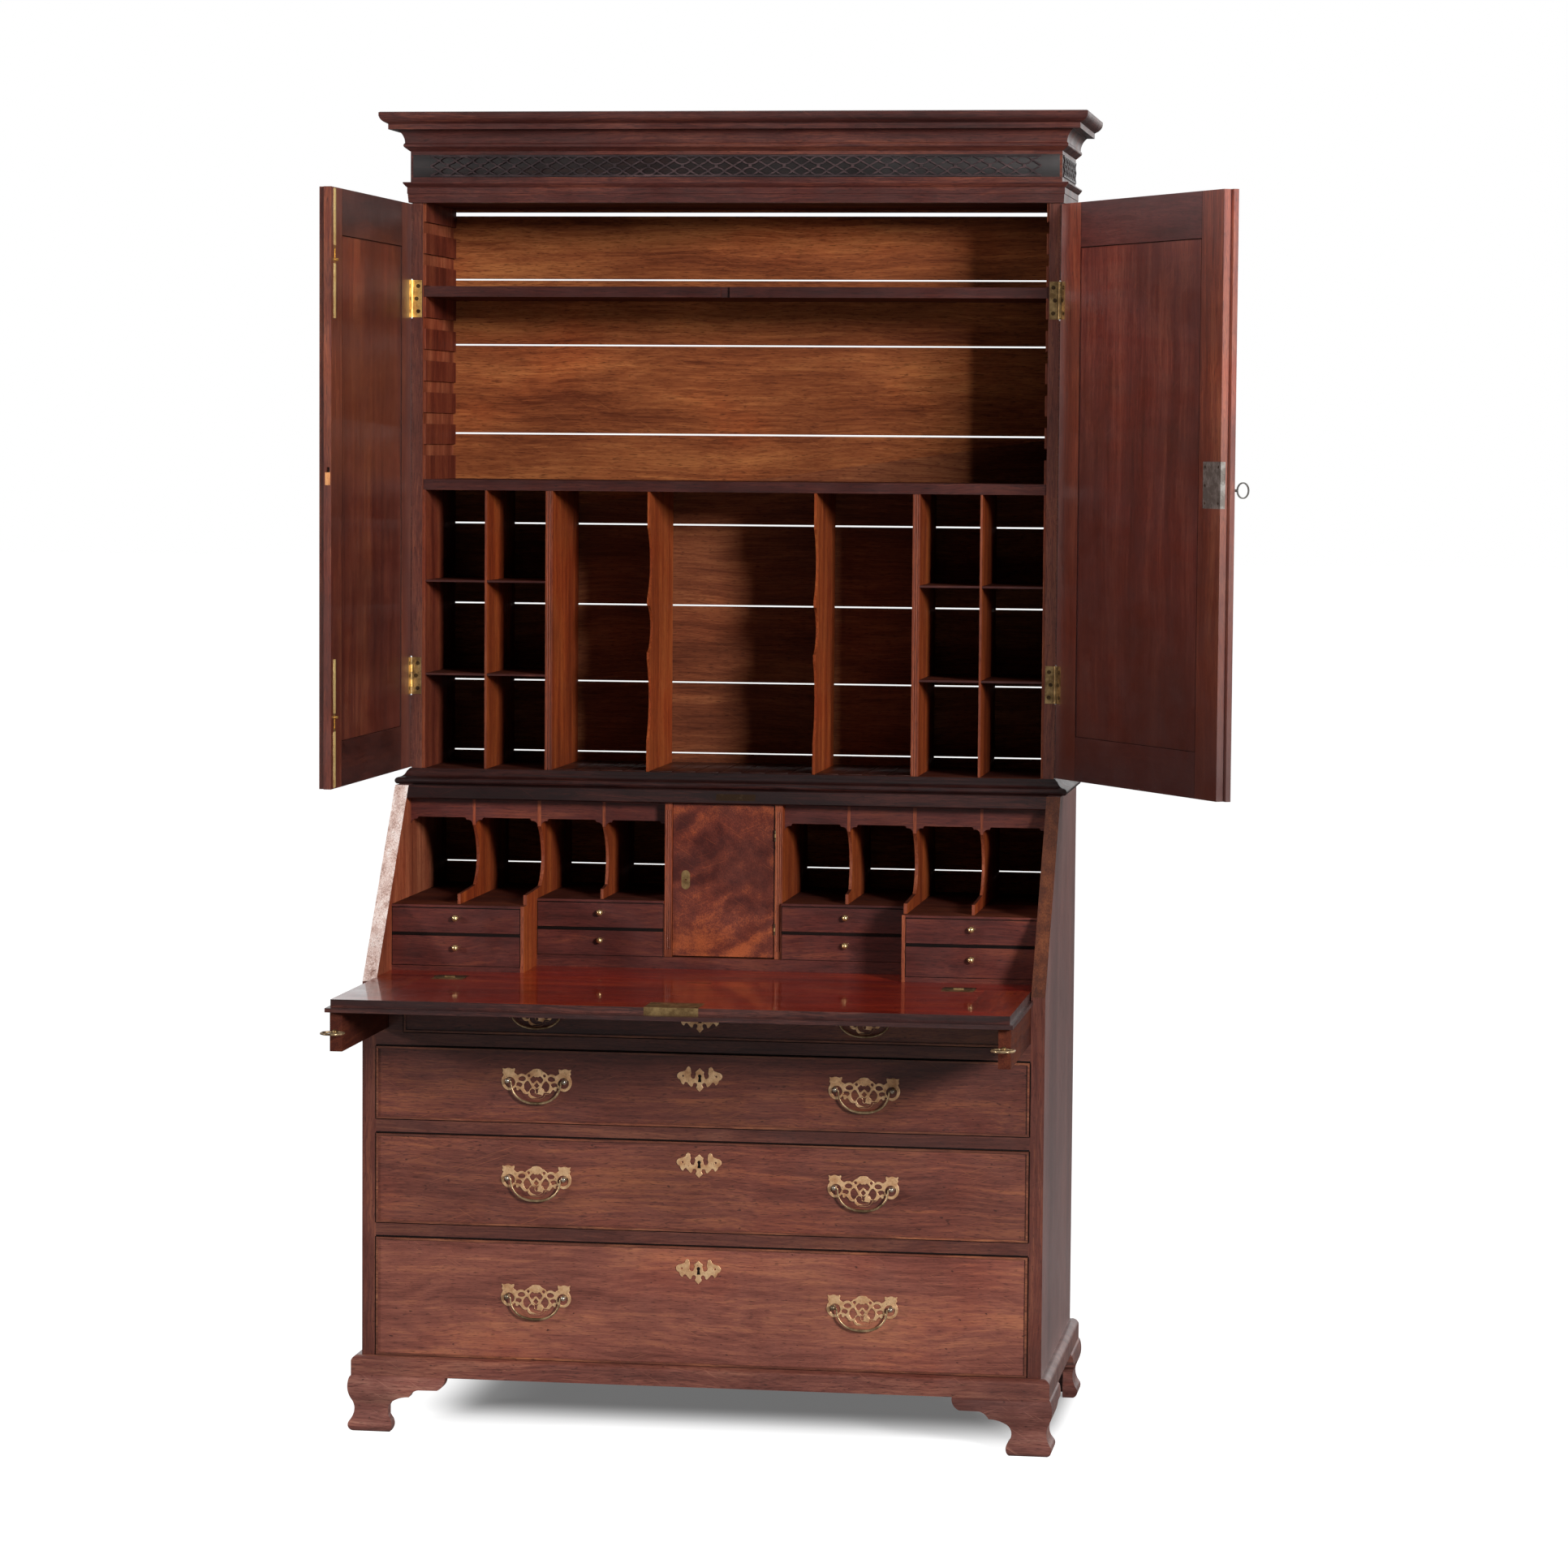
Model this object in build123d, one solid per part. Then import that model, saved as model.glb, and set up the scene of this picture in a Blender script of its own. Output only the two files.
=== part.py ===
from build123d import *
import os
from math import cos, radians, sin, tan

# A secretary bookcase: chest of drawers, sloping-fall desk and two-door bookcase on top.
# Millimetres. X runs across the front, Y from front to back, Z up from the floor.
# The origin is on the floor, under the middle of the chest's front edge.

# Fits shared by the whole piece
fit_gap = 0.4
drawer_gap = 0.8
face_gap = 0.3
cut_overrun = 5.0
pin_clearance = 0.05

# Chest
case_half_width = 585.0
case_depth = 560.0
case_side_thickness = 24.0
foot_height = 97.0
base_mould_height = 34.0
base_mould_projection = 16.0
bottom_board_thickness = 22.0
blade_thickness = 24.0
blade_depth = 62.0
dustboard_thickness = 7.0
runner_width = 42.0
back_board_thickness = 12.0
loper_slot_width = 22.0
loper_upright_width = 26.0
loper_guide_thickness = 12.0

# Desk
bed_clearance = 0.6
bed_thickness = 20.0
desk_top_rise = 28.607
desk_top_thickness = 22.0
fall_slope = 52.7
fall_hinge_y = 22.0
fall_thickness = 20.0
fall_lip_thickness = 7.0
fall_lip_width = 6.0
fall_length = 355.0
fall_front_lip = 16.0
fall_clamp_width = 78.0
fall_side_gap = 2.0

# Long drawers, from the bottom one up
bottom_front_height = 203.5
third_front_height = 153.5
second_front_height = 124.5
top_front_height = 71.5
front_thickness = 20.0
bead_width = 3.6
bead_proud = 2.8
bead_depth = 7.0
drawer_side_thickness = 11.0
drawer_back_thickness = 10.0
drawer_bottom_thickness = 6.0
drawer_side_drop = 14.0
drawer_back_clearance = 33.0

# Brasses of the long drawers
handle_side_distance = 280.0
plate_half_width = 58.0
plate_thickness = 1.5
post_spacing_half = 42.0
post_radius = 3.4
post_ball_radius = 4.2
bail_stand_off = 9.0
bail_wire_radius = 1.9
bail_drop = 38.0
bail_waist_half = 34.0
bail_belly_half = 38.0
bail_bottom_half = 26.0
bail_corner_radius = 3.2
bail_bend_radius = 13.0
bail_bottom_bend_radius = 10.4
bail_belly_share = 0.55
post_boss_radius = 5.1
bottom_handle_rise = 109.0
third_handle_rise = 84.0
second_handle_rise = 72.0
top_handle_rise = 43.5
bottom_keyhole_rise = 161.0
third_keyhole_rise = 114.0
second_keyhole_rise = 82.0
top_keyhole_rise = 28.0
escutcheon_half_width = 40.0

# Lopers
loper_thickness = 20.6
loper_height = 66.0
loper_length = 478.0
loper_set_back = 3.0
ring_outer_radius = 20.0
ring_wire_radius = 1.9
ring_post_radius = 4.4
ring_post_length = 7.5
ring_stem_radius = 2.6
ring_axis_length = 9.0
ring_corner_radius = 3.04

# Gallery of the desk
gallery_back_clearance = 2.0
outer_front_y = 115.0
inner_front_y = 230.0
gallery_board = 6.0
gallery_thin_board = 5.0
gallery_rail = 3.0
gallery_shelf = 4.0
outer_base_height = 8.5
inner_base_height = 20.0
outer_lower_height = 53.2
outer_upper_height = 44.0
inner_lower_height = 45.2
inner_upper_height = 44.2
outer_section_width = 230.0
pilaster_inner = 90.5
pilaster_width = 13.0
pilaster_depth = 12.0
pilaster_clearance = 0.9
pilaster_groove_radius = 1.3
pilaster_groove_shares = [0.25, 0.5, 0.75]
divider_head_set_back = 24.0
divider_waist_depth = 34.0
outer_tongue_y = 140.0
inner_tongue_y = 246.0
valance_thickness = 6.0
valance_drop = 34.0
scroll_head_share = 0.73
scroll_tongue_share = 0.1
scroll_knee_share = 0.8
small_front_thickness = 9.0
small_side_thickness = 5.0
outer_drawer_clearance = 131.0
inner_drawer_clearance = 76.0
knob_radius = 5.6
knob_length = 13.0
knob_neck_radius = 2.4
knob_height_share = 0.6
prospect_set_back = 4.0
prospect_foot_gap = 2.0
prospect_thickness = 16.0
prospect_gap = 0.8

# Bookcase
bookcase_set_in = 17.0
bookcase_front_y = 298.0
bookcase_side_thickness = 18.5
ladder_thickness = 4.5
ladder_set_back = 5.0
groove_height = 20.0
groove_pitch = 55.5
first_groove_rise = 59.9
shelf_groove_index = 5
shelf_thickness = 18.4
waist_height = 27.0
rack_height = 490.0
bookcase_height = 1018.0
top_board_thickness = 18.0
waist_projection = 25.0
back_gap = 3.0
back_gap_top = 7.0
back_gap_shares = [0.0442, 0.1694, 0.3055, 0.4476, 0.6061, 0.7623, 0.8772, 0.9921]
desk_back_gap_shares = [0.2337, 0.4644, 0.653, 0.8415]

# Letter racks
rack_set_back = 7.0
rack_cell_width = 108.0
rack_divider_thickness = 4.0
rack_shelf_thickness = 3.5
rack_shelf_shares = [0.3388, 0.6735]
rack_width = 221.0
reeded_width = 13.0
scalloped_bay_width = 177.0
scalloped_thickness = 4.5

# Doors
door_thickness = 22.0
door_inner_layer = 12.5
door_lap = 8.5
door_stile = 72.0
door_rail = 76.0
door_foot_gap = 1.6
door_head_gap = 2.0
panel_thickness = 9.0
panel_recess = 1.2
panel_groove = 8.0
left_door_angle = 90.4
right_door_angle = 122.5
hinge_height = 65.0
lower_hinge_rise = 161.4
upper_hinge_drop = 165.0
hinge_leaf_width = 18.0
hinge_leaf_thickness = 1.6
knuckle_radius = 3.2
knuckle_count = 5
hinge_pin_radius = 1.4
hinge_pin_offset = 1.2
bolt_plate_width = 13.0
bolt_plate_length = 214.0
bolt_plate_thickness = 1.2
bolt_edge_distance = 24.0
bolt_width = 7.0
bolt_thickness = 3.0
bolt_travel = 16.0
bolt_knob_distance = 118.0
lock_width = 58.0
lock_height = 76.0
lock_rise = 511.9
lock_depth = 9.0
lock_plate_thickness = 1.6
key_drop = 8.5
key_edge_distance = 26.0
key_radius = 2.3
key_reach = 46.0
key_bow_width = 27.0
key_bow_height = 23.0
key_bow_wire = 2.2
lock_bolt_travel = 7.0
lock_bolt_height = 16.0
lock_bolt_thickness = 4.0
lock_bolt_length = 30.0

# Frieze and cornice
frieze_offset = 3.0
frieze_thickness = 16.0
frieze_height = 89.0
cornice_height = 66.0
fret_rise = 45.0
fret_height = 37.0
fret_oval_share = 0.27
fret_ring_share = 0.8
fret_thickness = 2.4
fret_end_margin = 7.0
fret_strip = 2.6
fret_period = 59.5
frieze_foot_height = 35.2
frieze_foot_reach = 11.6
cornice_reach = 47.0

# Bracket feet
foot_spread = 165.0
foot_wall = 22.0
ogee_bulge = 5.0
rear_foot_board = 18.0
foot_block_width = 35.2

# Hinges of the fall and the prospect door, and small fittings
keyhole_radius = 3.2
seam_angle = 45.0
fall_hinge_distance = 124.0
fall_hinge_length = 55.0
fall_leaf_width = 32.0
fall_knuckle_radius = 2.6
small_knuckle_count = 3
fall_lock_width = 90.0
fall_lock_shift = 7.0
fall_lock_depth = 70.0
keeper_width = 42.0
keeper_shift = -6.0
keeper_depth = 8.0
strike_width = 69.0
strike_shift = 21.5
strike_gap = 6.2
strike_depth = 13.8
fitting_thickness = 1.4
prospect_hinge_height = 19.0
lower_prospect_hinge_rise = 49.5
upper_prospect_hinge_drop = 52.4
prospect_knuckle_radius = 2.0
prospect_leaf_width = 9.6
prospect_leaf_thickness = 1.1
prospect_plate_shift = 67.0
prospect_plate_rise = 155.0
prospect_plate_width = 15.0
prospect_plate_height = 33.0
panel_tongue = 4.0
panel_field_inset = 34.0
panel_field_rise = 6.0
panel_field_bevel = 5.0
bolt_knob_radius = 2.2
bolt_knob_rise = 6.0
bolt_reach = 26.0
lock_wall = 1.2
key_bit_reach = 6.0
key_bit_width = 4.0
key_bit_thickness = 2.4
scallop_depth = 34.0
scallop_shares = [(0.1102, 0.402, 0.647), (0.4265, 0.5939, 1.0), (0.6204, 0.8714, 0.8235)]
reed_count = 3
reed_groove_radius = 1.1
shelf_notch_width = 16.0
shelf_notch_shift = -14.0
shelf_notch_depth = 6.0
frieze_lid_thickness = 6.0
frieze_top_ledge = 6.4

# Derived places
slope_cos = cos(radians(fall_slope))
slope_sin = sin(radians(fall_slope))
case_inner = case_half_width - case_side_thickness
chest_floor_level = foot_height + base_mould_height
case_back_inner = case_depth - back_board_thickness
long_drawer_heights = [
    bottom_front_height, third_front_height, second_front_height, top_front_height,
]
handle_rises = [bottom_handle_rise, third_handle_rise, second_handle_rise, top_handle_rise]
keyhole_rises = [bottom_keyhole_rise, third_keyhole_rise, second_keyhole_rise, top_keyhole_rise]
drawer_count = len(long_drawer_heights)
drawer_pitch = 2 * drawer_gap + blade_thickness
stack_height = sum(long_drawer_heights) + drawer_count * drawer_pitch - blade_thickness
bed_bottom_level = chest_floor_level + stack_height + bed_clearance
desk_level = bed_bottom_level + bed_thickness
desk_top_level = desk_level + fall_length * slope_sin + desk_top_rise
desk_top_bottom = desk_top_level - desk_top_thickness
bookcase_floor_level = desk_top_level + waist_height
bookcase_top_level = desk_top_level + bookcase_height
frieze_top_level = bookcase_top_level + frieze_height
cornice_top_level = frieze_top_level + cornice_height
fret_bottom_level = bookcase_top_level + fret_rise
fret_top_level = fret_bottom_level + fret_height
drawer_length = case_back_inner - drawer_back_clearance
handle_centre_x = case_inner - handle_side_distance
fall_body_thickness = fall_thickness - fall_lip_thickness
seat_offset = fall_body_thickness - face_gap
fall_hinge_centre = case_inner - fall_hinge_distance
fall_lock_x = [fall_lock_shift - fall_lock_width / 2, fall_lock_shift + fall_lock_width / 2]
keeper_x = [keeper_shift - keeper_width / 2, keeper_shift + keeper_width / 2]
strike_x = [strike_shift - strike_width / 2, strike_shift + strike_width / 2]
strike_along = [fall_length + strike_gap, fall_length + strike_gap + strike_depth]
loper_outer = case_inner - fit_gap
loper_slot_inner = case_inner - loper_slot_width
loper_upright_inner = loper_slot_inner - loper_upright_width
loper_top_level = desk_level - fall_thickness - face_gap
loper_front_y = fall_hinge_y - fall_length + loper_set_back
gallery_back_y = case_back_inner - gallery_back_clearance
section_half = case_inner - outer_section_width
small_drawer_length_outer = gallery_back_y - outer_front_y - outer_drawer_clearance
small_drawer_length_inner = gallery_back_y - inner_front_y - inner_drawer_clearance
pilaster_outer = pilaster_inner + pilaster_width
pilaster_front_y = fall_hinge_y + fall_length * slope_cos + pilaster_clearance
divider_head_y = pilaster_front_y + divider_head_set_back
divider_waist_y = divider_head_y + divider_waist_depth
outer_divider_x = (section_half + gallery_board / 2 + case_inner) / 2
inner_divider_x = (pilaster_outer + section_half - gallery_board / 2) / 2
prospect_front_y = pilaster_front_y + prospect_set_back
prospect_low = desk_level + inner_base_height + prospect_foot_gap
prospect_high = desk_top_bottom - 2 * prospect_gap
prospect_hinge_x = pilaster_inner - prospect_gap / 2
prospect_hinge_y = prospect_front_y - prospect_knuckle_radius - fit_gap
prospect_hinge_levels = [
    prospect_low + lower_prospect_hinge_rise, prospect_high - upper_prospect_hinge_drop,
]
prospect_plate_level = desk_level + prospect_plate_rise
bookcase_half_width = case_half_width - bookcase_set_in
bookcase_board_x = bookcase_half_width - bookcase_side_thickness
bookcase_inner = bookcase_board_x - ladder_thickness
fixed_shelf_bottom = bookcase_floor_level + rack_height
first_groove_bottom = fixed_shelf_bottom + first_groove_rise
groove_count = 1 + int(
    (bookcase_top_level - first_groove_bottom - 2 * groove_height) / groove_pitch
)
shelf_notch = [
    shelf_notch_shift - shelf_notch_width / 2, shelf_notch_shift + shelf_notch_width / 2,
]
rack_front_y = bookcase_front_y + rack_set_back
rack_divider_x = bookcase_inner - rack_cell_width
reeded_centre_x = bookcase_inner - rack_width
scalloped_x = reeded_centre_x - scalloped_bay_width
frieze_inner_x = bookcase_half_width + frieze_offset - frieze_thickness
frieze_inner_y = bookcase_front_y - frieze_offset + frieze_thickness
door_bottom_level = bookcase_floor_level + door_foot_gap
door_top_level = bookcase_top_level - door_head_gap
door_hinge_x = bookcase_half_width + hinge_pin_offset
door_face_y = bookcase_front_y - 2 * fit_gap
door_hinge_y = (bookcase_front_y + door_face_y) / 2
door_free_x = fit_gap
door_outer_x = bookcase_half_width - fit_gap
hinge_levels = [door_bottom_level + lower_hinge_rise, door_top_level - upper_hinge_drop]
panel_face_y = door_face_y - panel_recess
bolt_x = door_free_x + bolt_edge_distance
bolt_front_y = door_face_y - bolt_plate_thickness - bolt_thickness
key_x = door_free_x + key_edge_distance
lock_level = door_bottom_level + lock_rise
key_level = lock_level - key_drop
lock_bolt_level = lock_level + lock_height / 8


def on_slope(along, out):
    """Place in the side view, along the slope from the fall's hinge and out from its face."""
    y = fall_hinge_y + along * slope_cos - out * slope_sin
    z = desk_level + along * slope_sin + out * slope_cos
    return (y, z)


def slope_at_level(level, out):
    """Place on the line parallel to the slope where it reaches a level."""
    along = (level - desk_level - out * slope_cos) / slope_sin
    return on_slope(along, out)


def board(x_low, x_high, y_low, y_high, z_low, z_high):
    """A plain board between two corners."""
    size = (x_high - x_low, y_high - y_low, z_high - z_low)
    middle = ((x_low + x_high) / 2, (y_low + y_high) / 2, (z_low + z_high) / 2)
    return Pos(*middle) * Box(*size)


def face_of(points):
    """A flat face inside straight edges."""
    return make_face(Polyline(*points, close=True))


def slab_x(face, x_low, x_high):
    """A side-view face (Y, Z) made thick across the piece."""
    return extrude(Plane.YZ.offset(x_low) * face, amount=x_high - x_low, dir=(1, 0, 0))


def slab_y(face, y_low, y_high):
    """A front-view face (X, Z) made thick from front to back."""
    return extrude(Plane.XZ.offset(-y_low) * face, amount=y_high - y_low, dir=(0, 1, 0))


def slab_z(face, z_low, z_high):
    """A plan face (X, Y) made thick upwards."""
    return extrude(Plane.XY.offset(z_low) * face, amount=z_high - z_low, dir=(0, 0, 1))


def mirrored(shapes):
    """The same pieces on the other side of the middle."""
    return [mirror(shape, about=Plane.YZ) for shape in shapes]


def both_sides(shapes):
    """Pieces and their mirror images."""
    return list(shapes) + mirrored(shapes)


def rod_y(x, z, radius, y_low, y_high):
    """A round rod from front to back."""
    return slab_y(Pos(x, z) * Circle(radius), y_low, y_high)


def rod_x(y, z, radius, x_low, x_high):
    """A round rod across the piece."""
    return slab_x(Pos(y, z) * Circle(radius), x_low, x_high)


def rod_z(x, y, radius, z_low, z_high):
    """An upright round rod."""
    return slab_z(Pos(x, y) * Circle(radius), z_low, z_high)


def turned(x, z, edges):
    """A turned piece about a front-to-back axis, from edges in (radius, Y)."""
    plane = Plane(origin=(x, 0, z), x_dir=(0, 0, 1), z_dir=(-1, 0, 0))
    return revolve(plane * make_face(edges), axis=Axis((x, 0, z), (0, 1, 0)))


def ball_and_stem(x, z, ball_y, ball_radius, stem_radius, back_y):
    """A ball on the front of a stem, turned in one."""
    shoulder = ball_y + (ball_radius * ball_radius - stem_radius * stem_radius) ** (1 / 2)
    rise = ball_radius * cos(radians(seam_angle))
    nose = ball_y - ball_radius
    return turned(x, z, [
        ThreePointArc((0, nose), (rise, ball_y - rise), (ball_radius, ball_y)),
        ThreePointArc(
            (ball_radius, ball_y),
            arc_point(ball_y, ball_radius, (shoulder - ball_y) / 2),
            (stem_radius, shoulder),
        ),
        Polyline((stem_radius, shoulder), (stem_radius, back_y), (0, back_y), (0, nose)),
    ])


def arc_point(ball_y, ball_radius, back):
    """Place on a ball's outline, a little behind its widest ring."""
    return ((ball_radius * ball_radius - back * back) ** (1 / 2), ball_y + back)


def save(name, shapes):
    """Write the solids of one piece."""
    solids = [solid for shape in shapes for solid in shape.solids()]
    export_step(Compound(label=name, children=solids), f"parts/{name}.step")


# Mouldings that run round the front and both ends


def moulding(profile, half_width, front_y, back_y, reach):
    """Front length and two end lengths of one moulding, mitred at the corners.

    The profile's first axis points outwards and its second up.
    """
    far = half_width + reach
    near = half_width / 2
    front_plane = Plane(origin=(-far, front_y, 0), x_dir=(0, -1, 0), z_dir=(-1, 0, 0))
    front = extrude(front_plane * profile, amount=2 * far, dir=(1, 0, 0))
    end_plane = Plane(origin=(half_width, front_y - reach, 0), x_dir=(1, 0, 0), z_dir=(0, -1, 0))
    end = extrude(end_plane * profile, amount=back_y - front_y + reach, dir=(0, 1, 0))
    box = profile.bounding_box()
    z_low, z_high = box.min.Y - cut_overrun, box.max.Y + cut_overrun
    mitre_outer = (far, front_y - reach)
    mitre_inner = (near, front_y + half_width - near)
    front_region = face_of([
        (-far, front_y - reach), mitre_outer, mitre_inner, (-near, mitre_inner[1]),
    ])
    end_region = face_of([mitre_outer, (far, back_y), (near, back_y), mitre_inner])
    front = front & slab_z(front_region, z_low, z_high)
    end = end & slab_z(end_region, z_low, z_high)
    return [front] + both_sides([end])


def share_point(base, low, reach, tall, shares):
    """Place in a profile from its shares of reach and height."""
    return (base + reach * shares[0], low + tall * shares[1])


def base_profile():
    """Ovolo over a flat fascia."""
    shares = [(0.12, 1.0), (0.72, 0.94), (1.0, 0.74), (1.0, 0.0), (0.0, 0.0), (0.0, 1.0)]
    points = [
        share_point(0, foot_height, base_mould_projection, base_mould_height, pair)
        for pair in shares
    ]
    rounded = ThreePointArc(*points[:3])
    return make_face([rounded, Polyline(*points[2:], points[0])])


def waist_profile():
    """Fillet, cove and bead over the desk top."""
    tall = bookcase_floor_level - desk_top_level
    shares = [
        (0.3, 0.8), (0.5, 0.54), (0.84, 0.42), (1.0, 0.2), (0.84, 0.0), (0.0, 0.0), (0.0, 1.0),
        (0.1, 1.0),
    ]
    points = [share_point(0, desk_top_level, waist_projection, tall, pair) for pair in shares]
    cove = ThreePointArc(*points[:3])
    bead = ThreePointArc(*points[2:5])
    return make_face([cove, bead, Polyline(*points[4:], points[0])])


def frieze_foot_profile():
    """Stepped moulding under the frieze."""
    shares = [
        (0.0, 0.0), (0.27, 0.0), (0.38, 0.42), (0.45, 0.44), (0.45, 0.74), (0.66, 0.8), (1.0, 0.94),
        (1.0, 1.0), (0.0, 1.0),
    ]
    low = bookcase_top_level
    return face_of([
        share_point(frieze_offset, low, frieze_foot_reach, frieze_foot_height, pair)
        for pair in shares
    ])


def cornice_profile():
    """Bead, cove, fascia and crowning moulding."""
    tall = cornice_top_level - frieze_top_level
    shares = [
        (0.02, 0.0), (0.2, 0.1), (0.23, 0.15), (0.18, 0.21), (0.24, 0.4), (0.41, 0.55),
        (0.7, 0.55), (0.7, 0.69), (0.78, 0.72), (0.92, 0.79), (1.0, 0.9), (1.0, 0.98),
        (0.95, 1.0), (-0.2, 1.0), (-0.2, 0.0),
    ]
    points = [
        share_point(frieze_offset, frieze_top_level, cornice_reach, tall, pair)
        for pair in shares
    ]
    return make_face([
        Line(points[0], points[1]), ThreePointArc(*points[1:4]), ThreePointArc(*points[3:6]),
        Polyline(*points[5:9]), ThreePointArc(*points[8:11]), Polyline(*points[10:], points[0]),
    ])


# Chest and desk carcass


def desk_sides():
    """Two ends: upright in front of the chest, sloping in front of the desk."""
    y_top, z_top = slope_at_level(desk_top_level, seat_offset)
    out_y, out_z = on_slope(0, seat_offset)
    front_corner = (0, out_z - out_y * tan(radians(fall_slope)))
    outline = face_of([
        (0, foot_height), (case_depth, foot_height), (case_depth, desk_top_level),
        (y_top, z_top), front_corner,
    ])
    return both_sides([slab_x(outline, case_inner, case_half_width)])


def desk_top_board():
    """Board over the desk, its front edge sloping with the ends."""
    top = slope_at_level(desk_top_level, seat_offset)
    rail_foot = on_slope(fall_length + fit_gap * 3, seat_offset)
    across = (rail_foot[1] - desk_top_bottom) / slope_cos
    corner = (rail_foot[0] + across * slope_sin, desk_top_bottom)
    outline = face_of([
        top, rail_foot, corner, (case_back_inner, desk_top_bottom),
        (case_back_inner, desk_top_level),
    ])
    return [slab_x(outline, -case_inner, case_inner)]


def stacked_boards(gap_shares, z_low, z_high, half_width, top_gap):
    """Boards one above another, with gaps at shares of their height and a gap of its own on top."""
    boards = []
    gaps = [0] + [back_gap] * (len(gap_shares) - 1) + [top_gap, 0]
    edges = [z_low] + [z_low + (z_high - z_low) * share for share in gap_shares] + [z_high]
    for index, (low, high) in enumerate(zip(edges, edges[1:])):
        low_cut, high_cut = gaps[index] / 2, gaps[index + 1] / 2
        boards.append(board(
            -half_width, half_width, case_back_inner, case_depth, low + low_cut, high - high_cut,
        ))
    return boards


def desk_back_boards():
    """Oak boards across the back of chest and desk, shrunk apart."""
    return stacked_boards(
        desk_back_gap_shares, foot_height, desk_top_level, case_inner, back_gap,
    )


def writing_bed():
    """Fixed part of the writing surface, with the fall's hinges let into its edge."""
    bed = board(
        -case_inner, case_inner, fall_hinge_y, case_back_inner, bed_bottom_level, desk_level,
    )
    for x in (-fall_hinge_centre, fall_hinge_centre):
        bed = bed - fall_hinge_recess(x, 1)
    return [bed]


def drawer_levels():
    """Bottom and top of each long drawer's front, from the lowest up."""
    levels = []
    low = chest_floor_level + drawer_gap
    for height in long_drawer_heights:
        levels.append((low, low + height))
        low = low + height + 2 * drawer_gap + blade_thickness
    return levels


def blade_levels():
    """Bottom and top of each rail between long drawers."""
    tops = [high + drawer_gap for _, high in drawer_levels()[:-1]]
    return [(low, low + blade_thickness) for low in tops]


def drawer_dividers():
    """Bottom board, rails, runners, dustboards, loper uprights and loper runners."""
    pieces = [board(
        -case_inner, case_inner, 0, case_back_inner,
        chest_floor_level - bottom_board_thickness, chest_floor_level,
    )]
    runner_end = case_back_inner
    for low, high in blade_levels():
        pieces.append(board(-case_inner, case_inner, 0, blade_depth, low, high))
        runner = board(case_inner - runner_width, case_inner, blade_depth, runner_end, low, high)
        pieces += both_sides([runner])
        middle = (low + high) / 2
        pieces.append(board(
            runner_width - case_inner, case_inner - runner_width, blade_depth, runner_end,
            middle - dustboard_thickness / 2, middle + dustboard_thickness / 2,
        ))
    shelf = blade_levels()[-1][1]
    upright = board(
        loper_upright_inner, loper_slot_inner, 0, blade_depth, shelf, loper_top_level,
    )
    guide = board(
        loper_slot_inner - loper_guide_thickness, loper_slot_inner, blade_depth, runner_end,
        shelf, bed_bottom_level,
    )
    loper_runner = board(
        loper_slot_inner, case_inner, 0, runner_end, shelf,
        loper_top_level - loper_height - face_gap,
    )
    return pieces + both_sides([upright, guide, loper_runner])


def case_mouldings():
    """Moulding round the chest's foot, and round the bookcase's foot."""
    base = moulding(base_profile(), case_half_width, 0, case_depth, base_mould_projection)
    waist = moulding(
        waist_profile(), bookcase_half_width, bookcase_front_y, case_depth, waist_projection,
    )
    hole = bolt_hole(door_bottom_level - bolt_travel, bookcase_floor_level + cut_overrun)
    return base + [waist[0] - hole] + waist[1:]


# Ogee bracket feet


def ogee_edge(corner, top):
    """Side view of the ogee, from the floor up: (outward, level) from the moulding's face."""
    shares = [
        (-0.6, 0.0), (0.8, 0.08), (0.3, 0.2), (-1.0, 0.38), (0.0, 0.58), (1.0, 0.76), (0.5, 0.97),
    ]
    return [(corner + ogee_bulge * a, top * b) for a, b in shares] + [(corner, top)]


def ogee_region(corner, inner):
    """Everything inside the ogee, out to an inner line."""
    points = ogee_edge(corner, foot_height)
    curves = [ThreePointArc(*points[low:low + 3]) for low in (0, 2, 4)]
    rest = Polyline(*points[6:], (inner, foot_height), (inner, 0), points[0])
    return make_face(curves + [rest])


def bracket_outline(corner, sign):
    """Front view of one bracket, from the corner along the moulding."""
    shares = [
        (0.44, 0.12), (0.42, 0.24), (0.39, 0.42), (0.45, 0.56), (0.53, 0.62), (0.62, 0.64),
        (0.66, 0.73), (0.72, 0.775), (0.92, 0.78), (0.97, 0.84), (1.0, 1.0),
    ]
    points = [(corner + sign * foot_spread * a, foot_height * b) for a, b in shares]
    start = (corner + sign * foot_spread * 0.41, 0)
    far = corner - sign * foot_spread
    lower = [ThreePointArc(start, points[0], points[1]), ThreePointArc(*points[1:4])]
    middle = [ThreePointArc(*points[3:6]), ThreePointArc(*points[5:8]), Line(points[7], points[8])]
    upper = [ThreePointArc(*points[8:11]), Polyline(points[10], (far, foot_height), (far, 0), start)]
    return make_face(lower + middle + upper)


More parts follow.
